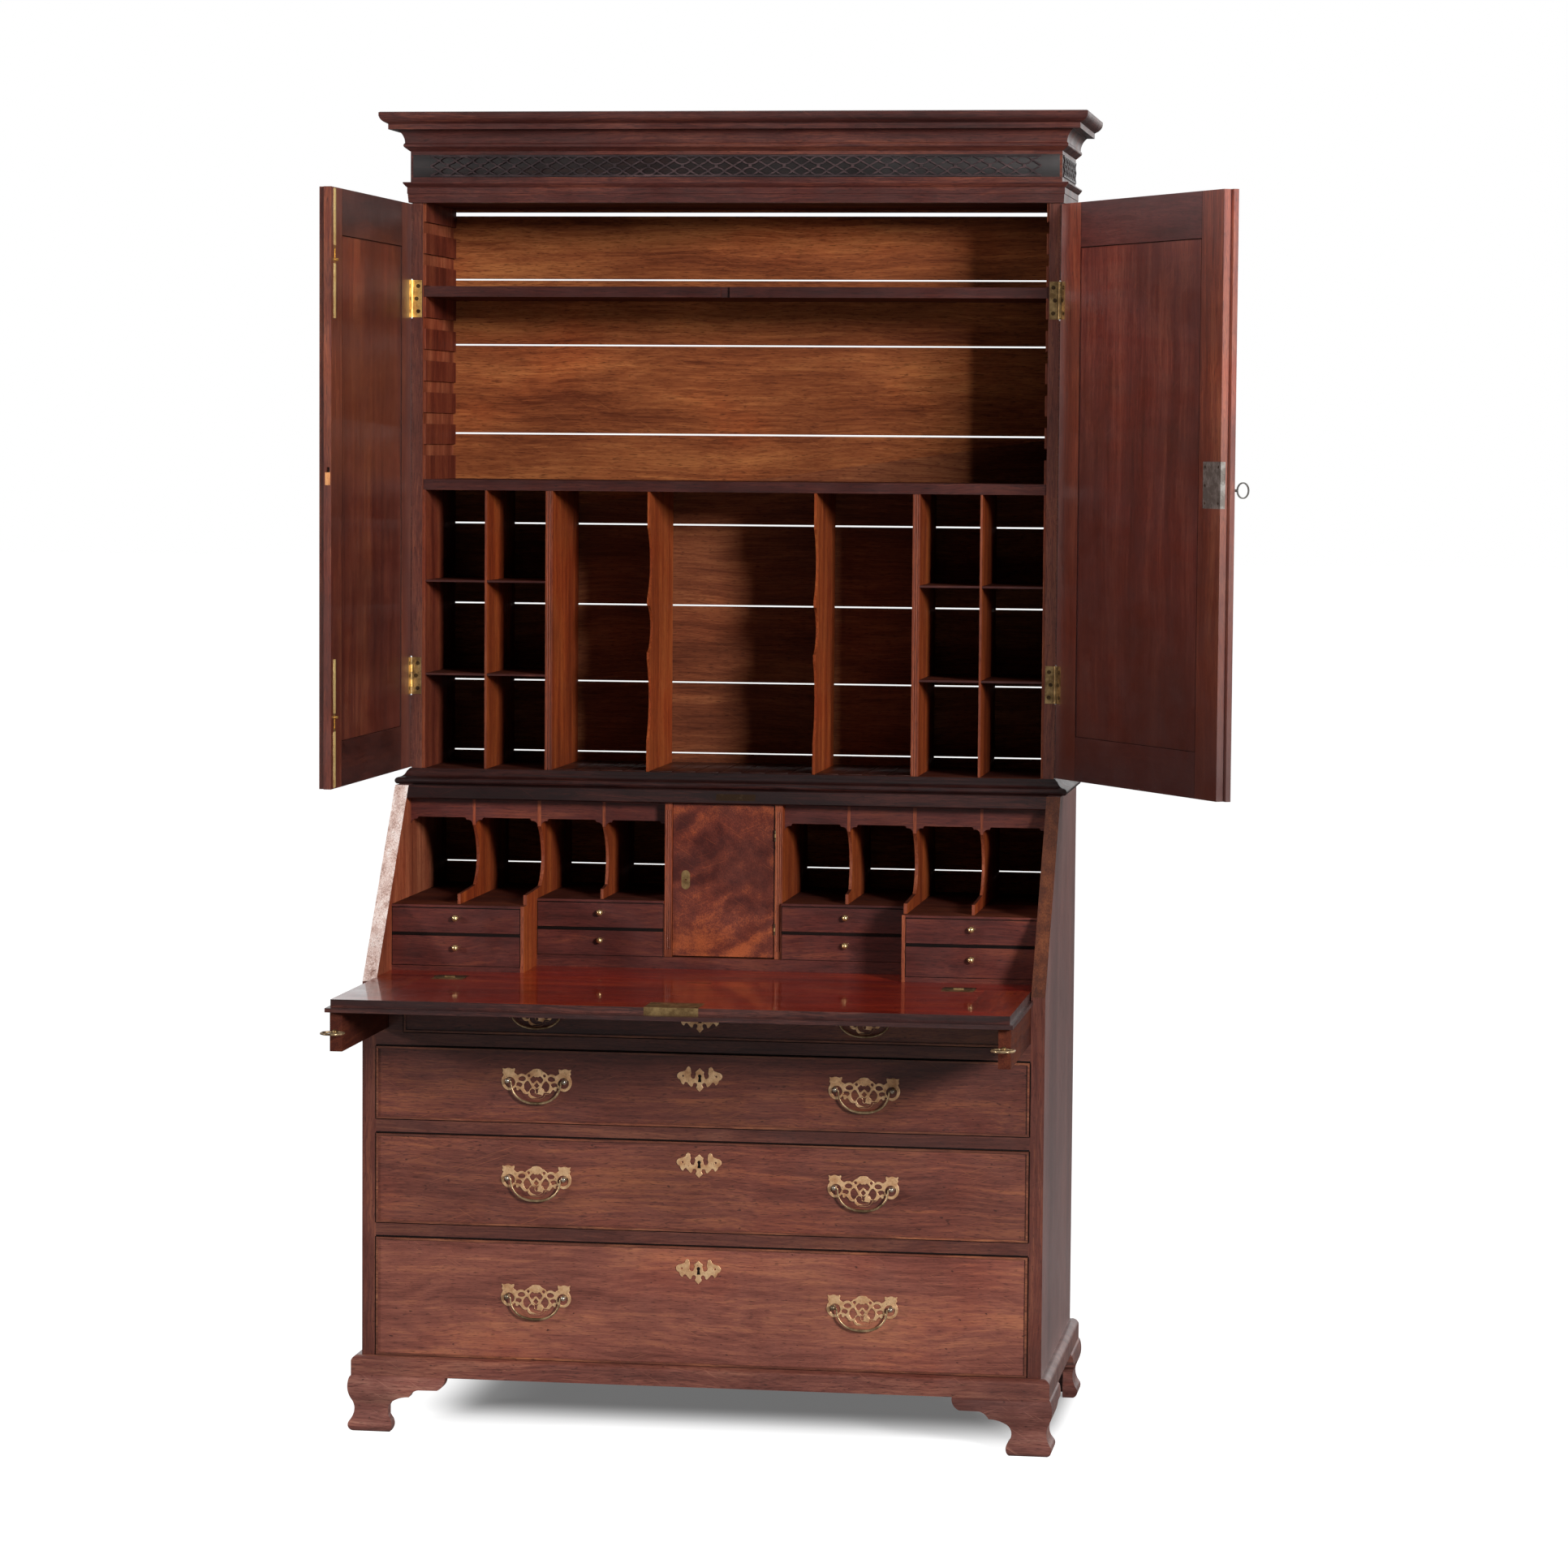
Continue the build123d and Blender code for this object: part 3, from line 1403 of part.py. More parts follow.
def adjustable_shelf():
    """Shelf in one pair of the ladder's grooves."""
    low = first_groove_bottom + groove_pitch * shelf_groove_index + fit_gap
    front = bookcase_front_y + ladder_set_back
    half = bookcase_board_x - face_gap
    shelf = board(-half, half, front, gallery_back_y, low, low + shelf_thickness)
    notch = board(
        *shelf_notch, front - cut_overrun, front + shelf_notch_depth, low - cut_overrun,
        low + shelf_thickness + cut_overrun,
    )
    return [shelf - notch]


def scalloped_partition():
    """Thin partition with three bays cut into its front edge."""
    wood = board(
        scalloped_x - scalloped_thickness / 2, scalloped_x + scalloped_thickness / 2,
        rack_front_y, gallery_back_y, bookcase_floor_level, fixed_shelf_bottom,
    )
    for low_share, high_share, depth_share in scallop_shares:
        low = bookcase_floor_level + rack_height * low_share
        high = bookcase_floor_level + rack_height * high_share
        deepest = rack_front_y + scallop_depth * depth_share
        arc = ThreePointArc(
            (rack_front_y, low), (deepest, (low + high) / 2), (rack_front_y, high),
        )
        edge = Polyline(
            (rack_front_y, high), (rack_front_y - cut_overrun, high),
            (rack_front_y - cut_overrun, low), (rack_front_y, low),
        )
        wood = wood - slab_x(
            make_face([arc, edge]), scalloped_x - scalloped_thickness,
            scalloped_x + scalloped_thickness,
        )
    return wood


def reeded_upright():
    """Pair of boards with a reeded front strip."""
    low, high = reeded_centre_x - reeded_width / 2, reeded_centre_x + reeded_width / 2
    strip_back = rack_front_y + reeded_width
    strip = board(low, high, rack_front_y, strip_back, bookcase_floor_level, fixed_shelf_bottom)
    for index in range(1, reed_count):
        strip = strip - rod_z(
            low + reeded_width * index / reed_count, rack_front_y, reed_groove_radius,
            bookcase_floor_level, fixed_shelf_bottom,
        )
    boards = [
        board(
            x, x + rack_divider_thickness, strip_back, gallery_back_y, bookcase_floor_level,
            fixed_shelf_bottom,
        )
        for x in (low, high - rack_divider_thickness)
    ]
    return [strip] + boards


def letter_racks():
    """Thin dividers and shelves, reeded uprights and scalloped partitions."""
    half = rack_divider_thickness / 2
    pieces = [board(
        rack_divider_x - half, rack_divider_x + half, rack_front_y, gallery_back_y,
        bookcase_floor_level, fixed_shelf_bottom,
    )]
    spans = [
        (reeded_centre_x + reeded_width / 2, rack_divider_x - half),
        (rack_divider_x + half, bookcase_inner),
    ]
    for share in rack_shelf_shares:
        level = bookcase_floor_level + rack_height * share
        for low, high in spans:
            pieces.append(board(
                low, high, rack_front_y, gallery_back_y, level - rack_shelf_thickness / 2,
                level + rack_shelf_thickness / 2,
            ))
    return both_sides(pieces + reeded_upright() + [scalloped_partition()])


# Frieze and cornice


def cornice():
    """Frieze boards, moulding under them, moulding over them and the lid."""
    outer_x = bookcase_half_width + frieze_offset
    outer_y = bookcase_front_y - frieze_offset
    front = board(
        -outer_x, outer_x, outer_y, frieze_inner_y, bookcase_top_level, frieze_top_level,
    )
    hole = bolt_hole(bookcase_top_level - cut_overrun, door_top_level + bolt_travel)
    end = board(
        frieze_inner_x, outer_x, frieze_inner_y, case_depth, bookcase_top_level,
        frieze_top_level,
    )
    back = board(
        -frieze_inner_x, frieze_inner_x, case_back_inner, case_depth, bookcase_top_level,
        frieze_top_level,
    )
    foot = moulding(
        frieze_foot_profile(), bookcase_half_width, bookcase_front_y, case_depth,
        frieze_offset + frieze_foot_reach,
    )
    crown = moulding(
        cornice_profile(), bookcase_half_width, bookcase_front_y, case_depth,
        frieze_offset + cornice_reach,
    )
    lid_x = bookcase_half_width - frieze_top_ledge
    lid = board(
        -lid_x, lid_x, bookcase_front_y + frieze_top_ledge, case_depth, frieze_top_level,
        frieze_top_level + frieze_lid_thickness,
    )
    pieces = [front - hole, back, lid, foot[0] - hole] + foot[1:] + crown
    return both_sides([end]) + pieces


def fret_unit():
    """One repeat of the fretwork: two pointed ovals and crossing strips, between borders."""
    tall = fret_top_level - fret_bottom_level
    wide = fret_period
    strip = fret_strip
    pieces = [
        Pos(0, sign * (tall - strip) / 2) * Rectangle(wide, strip) for sign in (-1, 1)
    ]
    oval_x, oval_z = wide * fret_oval_share, tall / 5
    cuts = []
    for sign in (-1, 1):
        for shapes, shrink in ((pieces, 0), (cuts, strip * fret_ring_share)):
            a, b = oval_x - 2 * shrink, oval_z - shrink
            z = sign * tall / 4
            shapes.append(make_face([
                ThreePointArc((-a, z), (0, z + b), (a, z)),
                ThreePointArc((a, z), (0, z - b), (-a, z)),
            ]))
    for side in (-1, 1):
        for sign in (-1, 1):
            start = (side * (oval_x - strip), sign * tall / 4)
            for level in (0, sign * (tall - strip) / 2):
                pieces.append(face_strip(start, (side * wide / 2, level), strip))
    pieces.append(Rectangle(strip * 2, tall / 2 - strip))
    return (Sketch() + pieces) - cuts & Rectangle(wide, tall)


def face_strip(start, end, width):
    """A straight strip between two places."""
    run_x, run_z = end[0] - start[0], end[1] - start[1]
    length = (run_x * run_x + run_z * run_z) ** (1 / 2)
    shift_x, shift_z = -run_z / length * width / 2, run_x / length * width / 2
    return face_of([
        (start[0] + shift_x, start[1] + shift_z), (end[0] + shift_x, end[1] + shift_z),
        (end[0] - shift_x, end[1] - shift_z), (start[0] - shift_x, start[1] - shift_z),
    ])


def frieze_fret():
    """Fretwork glued to the frieze on the front and both ends."""
    unit = fret_unit()
    level = (fret_bottom_level + fret_top_level) / 2
    face_y = bookcase_front_y - frieze_offset
    face_x = bookcase_half_width + frieze_offset
    front_count = int(2 * (face_x - fret_end_margin) / fret_period)
    start = -fret_period * (front_count - 1) / 2
    pieces = [
        slab_y(Pos(start + fret_period * index, level) * unit, face_y - fret_thickness, face_y)
        for index in range(front_count)
    ]
    end_run = case_depth - face_y
    end_count = int((end_run - fret_end_margin) / fret_period)
    first = (face_y + case_depth - fret_period * (end_count - 1)) / 2
    ends = [
        slab_x(Pos(first + fret_period * index, level) * unit, face_x, face_x + fret_thickness)
        for index in range(end_count)
    ]
    return pieces + both_sides(ends)


# Doors, made shut and then swung open


def door_swing(shapes, side):
    """Swing the left (-1) or right (1) door's pieces from shut to open."""
    angle = right_door_angle if side > 0 else -left_door_angle
    axis = Axis((side * door_hinge_x, door_hinge_y, 0), (0, 0, 1))
    return [shape.rotate(axis, angle) for shape in shapes]


def to_side(shapes, side):
    """Pieces made for the right door, turned into those of the given side, and opened."""
    placed = mirrored(shapes) if side < 0 else shapes
    return door_swing(placed, side)


def panel_tongue_box():
    """Room of the panel's tongue in the frame's grooves."""
    return board(
        door_free_x + door_stile - panel_groove, door_outer_x - door_stile + panel_groove,
        panel_face_y - panel_thickness, panel_face_y - panel_thickness + panel_tongue,
        door_bottom_level + door_rail - panel_groove, door_top_level - door_rail + panel_groove,
    )


def door_frame(side):
    """Two stiles and two rails, half-lapped at the meeting edge."""
    layer_y = door_face_y - door_inner_layer
    front_y = door_face_y - door_thickness
    low, high = door_bottom_level, door_top_level
    hinge_stile = board(door_outer_x - door_stile, door_outer_x, front_y, door_face_y, low, high)
    for level in hinge_levels:
        hinge_stile = hinge_stile - door_hinge_pocket(level, 1)
    inner_x = door_free_x + door_stile
    free_stile = board(door_free_x, inner_x, layer_y, door_face_y, low, high)
    if side > 0:
        free_stile = free_stile + board(
            fit_gap - door_lap, inner_x, front_y, layer_y - fit_gap, low, high,
        ) + board(door_free_x, inner_x, front_y, layer_y, low, high)
        free_stile = free_stile - lock_room() - key_hole()
    else:
        free_stile = free_stile + board(
            door_lap + fit_gap, inner_x, front_y, layer_y, low, high,
        )
        free_stile = free_stile - keep_mortise()
        for end in (-1, 1):
            free_stile = free_stile - bolt_room(end)
    rails = [
        board(inner_x, door_outer_x - door_stile, front_y, door_face_y, *levels)
        for levels in ((low, low + door_rail), (high - door_rail, high))
    ]
    tongue = panel_tongue_box()
    return to_side([piece - tongue for piece in [hinge_stile, free_stile] + rails], side)


def door_panel(side):
    """Panel with a tongue all round and a raised field outside."""
    x_low, x_high = door_free_x + door_stile, door_outer_x - door_stile
    z_low, z_high = door_bottom_level + door_rail, door_top_level - door_rail
    rear = panel_face_y - panel_thickness
    body = board(x_low, x_high, rear, panel_face_y, z_low, z_high) + panel_tongue_box()
    inset = panel_field_inset
    field = board(
        x_low + inset, x_high - inset, rear - panel_field_rise, rear, z_low + inset,
        z_high - inset,
    )
    front_edges = field.faces().sort_by(Axis.Y)[0].edges()
    field = chamfer(front_edges, panel_field_bevel)
    return to_side([body + field], side)


def door_hinge_leaves():
    """Moving halves of the right door's hinges, with the door shut."""
    return [door_hinge_leaf(level, 1) for level in hinge_levels]


# Flush bolts of the left door, described on the right and mirrored


def bolt_knob_level(end):
    """Level of a bolt's knob: the top bolt (1) or the bottom bolt (-1)."""
    edge = door_top_level if end > 0 else door_bottom_level
    return edge - end * bolt_knob_distance


def ordered(first, second):
    """Two values, the lower first."""
    return (min(first, second), max(first, second))


def bolt_plate(end):
    """Brass plate let into the inside face, with a slot for the bolt's knob."""
    edge = door_top_level if end > 0 else door_bottom_level
    near = edge - end * bolt_plate_thickness
    far = edge - end * bolt_plate_length
    plate = board(
        bolt_x - bolt_plate_width / 2, bolt_x + bolt_plate_width / 2,
        door_face_y - bolt_plate_thickness, door_face_y, *ordered(near, far),
    )
    knob = bolt_knob_level(end)
    room = bolt_knob_radius + face_gap
    slot = board(
        bolt_x - room, bolt_x + room, door_face_y - bolt_plate_thickness - cut_overrun,
        door_face_y + cut_overrun, *ordered(knob - end * room, knob + end * (bolt_travel + room)),
    )
    return plate - slot


def bolt_bar(end):
    """Flat bolt with a round knob, drawn back level with the door's edge."""
    edge = door_top_level if end > 0 else door_bottom_level
    knob = bolt_knob_level(end)
    bar = board(
        bolt_x - bolt_width / 2, bolt_x + bolt_width / 2, bolt_front_y,
        bolt_front_y + bolt_thickness, *ordered(edge - end * fit_gap, knob - end * bolt_reach),
    )
    pin = rod_y(
        bolt_x, knob, bolt_knob_radius, bolt_front_y + bolt_thickness,
        door_face_y + bolt_knob_rise,
    )
    return bar + pin


def bolt_room(end):
    """Groove in the stile for one bolt and its plate."""
    edge = door_top_level if end > 0 else door_bottom_level
    far = bolt_knob_level(end) - end * (bolt_reach + fit_gap)
    groove = board(
        bolt_x - bolt_width / 2 - face_gap, bolt_x + bolt_width / 2 + face_gap,
        bolt_front_y - face_gap, door_face_y, *ordered(edge + end * cut_overrun, far),
    )
    plate = board(
        bolt_x - bolt_plate_width / 2, bolt_x + bolt_plate_width / 2,
        door_face_y - bolt_plate_thickness, door_face_y,
        *ordered(edge - end * bolt_plate_thickness, edge - end * bolt_plate_length),
    )
    return groove + plate


def bolt_hole(z_low, z_high):
    """Hole that takes a bolt of the shut left door."""
    return mirror(board(
        bolt_x - bolt_width / 2 - face_gap, bolt_x + bolt_width / 2 + face_gap,
        bolt_front_y - face_gap, bolt_front_y + bolt_thickness + face_gap, z_low, z_high,
    ), about=Plane.YZ)


# Lock of the right door


def lock_box():
    """Outline of the lock, flush with the door's inside face and free edge."""
    return board(
        door_free_x, door_free_x + lock_width, door_face_y - lock_depth, door_face_y,
        lock_level - lock_height / 2, lock_level + lock_height / 2,
    )


def lock_room():
    """Room for the lock in the stile."""
    return lock_box()


def lock_bolt_box(grow, reach):
    """The lock's bolt, or the room that it needs."""
    middle = door_face_y - lock_depth / 2 - lock_wall / 2
    return board(
        door_free_x + face_gap - grow - reach, door_free_x + lock_bolt_length + grow,
        middle - lock_bolt_thickness / 2 - grow, middle + lock_bolt_thickness / 2 + grow,
        lock_bolt_level - lock_bolt_height / 2 - grow,
        lock_bolt_level + lock_bolt_height / 2 + grow,
    )


def lock_case():
    """Steel lock with room inside for the bolt and the key's bit."""
    room = door_face_y - lock_plate_thickness
    turning = rod_y(
        key_x, key_level, key_radius + key_bit_reach + fit_gap,
        door_face_y - lock_depth + lock_wall, room,
    )
    shank = rod_y(
        key_x, key_level, key_radius + pin_clearance, door_face_y - lock_depth - cut_overrun,
        room,
    )
    return lock_box() - lock_bolt_box(face_gap, cut_overrun) - turning - shank


def key_hole():
    """Hole through the stile for the key's shank."""
    return rod_y(
        key_x, key_level, key_radius + pin_clearance, door_face_y - door_thickness - cut_overrun,
        door_face_y - lock_depth,
    )


def keep_mortise():
    """Mortise in the left door's meeting edge for the lock's bolt."""
    box = lock_bolt_box(fit_gap, 0)
    size = box.bounding_box()
    return board(
        door_free_x - cut_overrun, door_free_x + lock_bolt_travel + fit_gap,
        size.min.Y, size.max.Y, size.min.Z, size.max.Z,
    )


def door_key():
    """Key in the lock: shank, bit, collar and open bow."""
    front = door_face_y - door_thickness
    inner = door_face_y - lock_plate_thickness - face_gap
    bow_y = front - key_reach + key_bow_height / 2
    shank_front = bow_y + key_bow_height / 2 - key_bow_wire / 2
    shank = rod_y(key_x, key_level, key_radius, shank_front, inner)
    bit_back = inner - key_bit_width
    bit = board(
        key_x - key_bit_thickness / 2, key_x + key_bit_thickness / 2, bit_back, inner,
        key_level - key_radius - key_bit_reach, key_level,
    )
    collar = rod_y(
        key_x, key_level, key_radius + key_bow_wire / 2, front - key_bow_wire - face_gap,
        front - face_gap,
    )
    outline = Ellipse(key_bow_height / 2, key_bow_width / 2)
    opening = Ellipse(key_bow_height / 2 - key_bow_wire, key_bow_width / 2 - key_bow_wire)
    bow = slab_x(
        Pos(bow_y, key_level) * (outline - opening), key_x - key_bow_wire / 2,
        key_x + key_bow_wire / 2,
    )
    return shank + bit + collar + bow


# Metalwork fixed to the carcass


def case_brass():
    """Fixed hinge leaves with their pins, keeper and strike plate."""
    pieces = both_sides([door_hinge_leaf(level, 0) for level in hinge_levels])
    pieces += both_sides([fall_hinge_leaf(fall_hinge_centre, 1)])
    pieces += [prospect_hinge_leaf(level, 0) for level in prospect_hinge_levels]
    return pieces + [keeper_plate(), strike_plate()]


# Every node of the piece

side_names = {-1: "left", 1: "right"}
drawer_names = ["bottom_drawer", "third_drawer", "second_drawer", "top_drawer"]


def on_side(shapes, side):
    """Pieces made on the right, or their mirror images."""
    return mirrored(shapes) if side < 0 else list(shapes)


def save_case():
    """Everything that stands still."""
    save("desk_sides", desk_sides())
    save("desk_top_board", [desk_top_board()[0] - strike_plate()])
    save("desk_back_boards", desk_back_boards())
    save("writing_bed", [writing_bed()[0] - keeper_plate()])
    save("drawer_dividers", drawer_dividers())
    save("case_mouldings", case_mouldings())
    save("bracket_feet", bracket_feet())
    save("gallery_carcass", gallery_carcass())
    save("gallery_valances", gallery_valances())
    save("bookcase_sides", bookcase_sides())
    save("bookcase_boards", bookcase_boards())
    save("bookcase_back_boards", bookcase_back_boards())
    save("letter_racks", letter_racks())
    save("cornice", cornice())
    save("frieze_fret", frieze_fret())
    save("case_brass", case_brass())


def save_doors():
    """Both bookcase doors with their fittings, the fall, prospect door and shelf."""
    for side, name in side_names.items():
        save(f"{name}_door_frame", door_frame(side))
        save(f"{name}_door_panel", door_panel(side))
    plates = [bolt_plate(1), bolt_plate(-1)]
    save("left_door_brass", to_side(door_hinge_leaves() + plates, -1))
    save("left_top_bolt", to_side([bolt_bar(1)], -1))
    save("left_bottom_bolt", to_side([bolt_bar(-1)], -1))
    save("right_door_brass", to_side(door_hinge_leaves(), 1))
    save("right_door_lock", to_side([lock_case()], 1))
    save("lock_bolt", to_side([lock_bolt_box(0, 0)], 1))
    save("door_key", to_side([door_key()], 1))
    save("fall_board", fall_board())
    save("fall_brass", fall_brass())
    save("prospect_door", prospect_board())
    save("prospect_brass", prospect_brass())
    save("adjustable_shelf", adjustable_shelf())


def save_small_drawers():
    """Eight small drawers of the gallery."""
    half_board = gallery_board / 2
    sections = [
        ("outer", section_half + half_board, case_inner, outer_front_y,
         small_drawer_length_outer, outer_tiers()),
        ("inner", pilaster_outer, section_half - half_board, inner_front_y,
         small_drawer_length_inner, inner_tiers()),
    ]
    for section, low, high, front, length, tiers in sections:
        for levels, tier in zip(tiers, ("lower", "upper")):
            pieces = small_drawer(low, high, front, length, levels)
            for side, name in side_names.items():
                save(f"{name}_{section}_{tier}_drawer", on_side(pieces, side))


def save_chest():
    """Lopers with their rings, and the long drawers with their brasses."""
    for side, name in side_names.items():
        save(f"{name}_loper", on_side(loper(), side))
        save(f"{name}_loper_ring", on_side(loper_ring(), side))
    for index, name in enumerate(drawer_names):
        save(name, long_drawer(index))
        save(f"{name}_brass", drawer_brass(index))
        level = drawer_levels()[index][0] + handle_rises[index]
        for side, side_name in side_names.items():
            save(f"{name}_{side_name}_bail", [bail(side * handle_centre_x, level)])


os.makedirs("parts", exist_ok=True)
save_case()
save_doors()
save_small_drawers()
save_chest()
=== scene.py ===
"""Looks of a mahogany secretary bookcase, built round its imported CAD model.

Every length is in metres unless a name ends in _mm, and every place is in the CAD model's frame:
x to the right, y to the back, z up, with the middle of the front's foot line at the origin.
"""

import logging
import math
from collections.abc import Callable, Sequence
from dataclasses import dataclass, field
from enum import Enum

import bmesh
import bpy
from mathutils import Matrix, Vector


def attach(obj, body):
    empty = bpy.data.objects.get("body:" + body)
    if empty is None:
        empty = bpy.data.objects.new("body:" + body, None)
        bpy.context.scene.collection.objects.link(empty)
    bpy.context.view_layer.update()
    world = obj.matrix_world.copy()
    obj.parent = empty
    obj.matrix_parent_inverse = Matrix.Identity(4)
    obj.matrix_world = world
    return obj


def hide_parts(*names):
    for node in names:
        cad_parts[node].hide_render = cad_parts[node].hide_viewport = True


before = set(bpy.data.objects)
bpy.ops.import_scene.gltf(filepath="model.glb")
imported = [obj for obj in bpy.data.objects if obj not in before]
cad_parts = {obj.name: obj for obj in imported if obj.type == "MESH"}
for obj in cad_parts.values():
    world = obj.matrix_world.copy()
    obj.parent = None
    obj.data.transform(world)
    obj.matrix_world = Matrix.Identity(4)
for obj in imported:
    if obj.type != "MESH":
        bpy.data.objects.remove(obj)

log = logging.getLogger("secretary")

Colour = tuple[float, float, float]
Shade = tuple[int, int, int]
Triple = tuple[float, float, float]
Pair = tuple[float, float]
Chooser = Callable[[Vector, Vector], int]
Socket = bpy.types.NodeSocket
Piece = bpy.types.Object
Material = bpy.types.Material

MM = 0.001
UP, FRONTWARDS, BACKWARDS = Vector((0, 0, 1)), Vector((0, -1, 0)), Vector((0, 1, 0))
SIGNS = {"left": -1, "right": 1}
DOOR_TURNS = {"left": math.radians(-90.4), "right": math.radians(122.5)}
DOOR_HINGE_X, DOOR_HINGE_Y = 0.5692, 0.2976
DOOR_FACE_Y = 0.2972
HINGE_X = 0.5592
HINGE_LEVELS = (1.284, 1.945)
HINGE_SCREWS = ((-0.022, -0.0015), (0.0, 0.0015), (0.022, -0.0015))
STEEP = 0.5
FIBRE_SIZES, FLECK_SIZES = (0.055, 0.0019), (0.014, 0.0012)
GRAIN_SHARES = (0.42, 0.33, 0.25)
GRAIN_STOPS = (0.37, 0.5, 0.62)
SCRATCH_SIZES = ((0.55, (0.07, 0.07, 0.0016)), (-0.35, (0.11, 0.11, 0.0013)))


def srgb(shade: Shade) -> Colour:
    """Give the linear colour of three display values from 0 to 255."""
    parts = (value / 255 for value in shade)
    return tuple(
        part / 12.92 if part < 0.04045 else ((part + 0.055) / 1.055) ** 2.4 for part in parts
    )


def dimmed(colour: Colour, share: float) -> Colour:
    """Give a colour with only a share of its light."""
    return tuple(value * share for value in colour)


class Grain(Enum):
    """The axis that the fibres of a board run along."""

    ACROSS = 0
    DEEP = 1
    UPRIGHT = 2


class Figure(Enum):
    """The pattern that the grain of a board makes."""

    PLAIN = "plain"
    RIBBON = "ribbon"
    CROTCH = "crotch"


class Shader:
    """A node tree, with the steps that the finishes are made of."""

    def __init__(self, owner: bpy.types.ID) -> None:
        """Start the tree of a material or a world."""
        owner.use_nodes = True
        self.tree = owner.node_tree
        self.coordinates = self.node("TexCoord").outputs
        self.surface = self.tree.nodes.get("Principled BSDF")

    def feed(self, node: bpy.types.Node, inputs: dict[str | int, object]) -> None:
        """Give a node constants, colours or other nodes' outputs.

        Args:
            node: The node.
            inputs: What its sockets take, by name or number.
        """
        for key, value in inputs.items():
            socket = node.inputs[key]
            if isinstance(value, bpy.types.NodeSocket):
                self.tree.links.new(value, socket)
            else:
                socket.default_value = (*value, 1.0) if socket.type == "RGBA" else value

    def node(
        self, kind: str, inputs: dict[str | int, object] | None = None, **settings: object
    ) -> bpy.types.Node:
        """Add a node.

        Args:
            kind: Its type, without the word that all shader nodes share.
            inputs: What its sockets take, by name or number.
            settings: Its own settings.

        Returns:
            The node.
        """
        node = self.tree.nodes.new(f"ShaderNode{kind}")
        for name, value in settings.items():
            setattr(node, name, value)
        self.feed(node, inputs or {})
        return node

    def mapped(self, place: Socket, **inputs: Triple) -> Socket:
        """Give coordinates in a pattern's frame, which has a Location, Rotation and Scale."""
        mapping = self.node("Mapping", {"Vector": place, **inputs}, vector_type="TEXTURE")
        return mapping.outputs["Vector"]

    def noise(self, place: Socket, sizes: Triple, detail: float, roughness: float = 0.55,
              distortion: float = 0.0, lean: float = 0.0) -> Socket:
        """Give a noise value from 0 to 1.

        Args:
            place: The coordinates.
            sizes: Metres per unit of the pattern along x, y and z.
            detail: Number of finer layers.
            roughness: Strength of the finer layers.
            distortion: How far the pattern is warped.
            lean: Turn of the pattern about the y axis, in radians.

        Returns:
            The noise value.
        """
        return self.node("TexNoise", {
            "Vector": self.mapped(place, Scale=sizes, Rotation=(0.0, lean, 0.0)), "Scale": 1.0,
            "Detail": detail, "Roughness": roughness, "Distortion": distortion,
        }).outputs["Fac"]

    def span(self, value: object, low: float, high: float, start: float, end: float,
             curve: str = "LINEAR") -> Socket:
        """Carry a value from one range to another, clamped.

        Args:
            value: The value.
            low: Low end of its range.
            high: High end of its range.
            start: What the low end becomes.
            end: What the high end becomes.
            curve: How the change runs.

        Returns:
            The new value.
        """
        return self.node("MapRange", {
            "Value": value, "From Min": low, "From Max": high, "To Min": start, "To Max": end,
        }, interpolation_type=curve).outputs["Result"]

    def mix(self, factor: object, first: object, second: object, mode: str = "MIX") -> Socket:
        """Mix two colours, the factor being the share of the second."""
        inputs = {0: factor, 6: first, 7: second}
        return self.node("Mix", inputs, data_type="RGBA", blend_type=mode).outputs[2]

    def maths(self, operation: str, first: object, second: object = 0.0) -> Socket:
        """Do one sum with two numbers or sockets."""
        return self.node("Math", {0: first, 1: second}, operation=operation).outputs["Value"]

    def bump(self, height: Socket, depth: float, strength: float) -> None:
        """Add relief to the surface, on top of what it already has.

        Args:
            height: The relief, from 0 to 1.
            depth: Depth of the relief in metres.
            strength: How much of it shows.
        """
        relief = self.node("Bump", {"Distance": depth, "Strength": strength, "Height": height})
        normal = self.surface.inputs["Normal"]
        if normal.is_linked:
            self.feed(relief, {"Normal": normal.links[0].from_socket})
        self.feed(self.surface, {"Normal": relief.outputs["Normal"]})


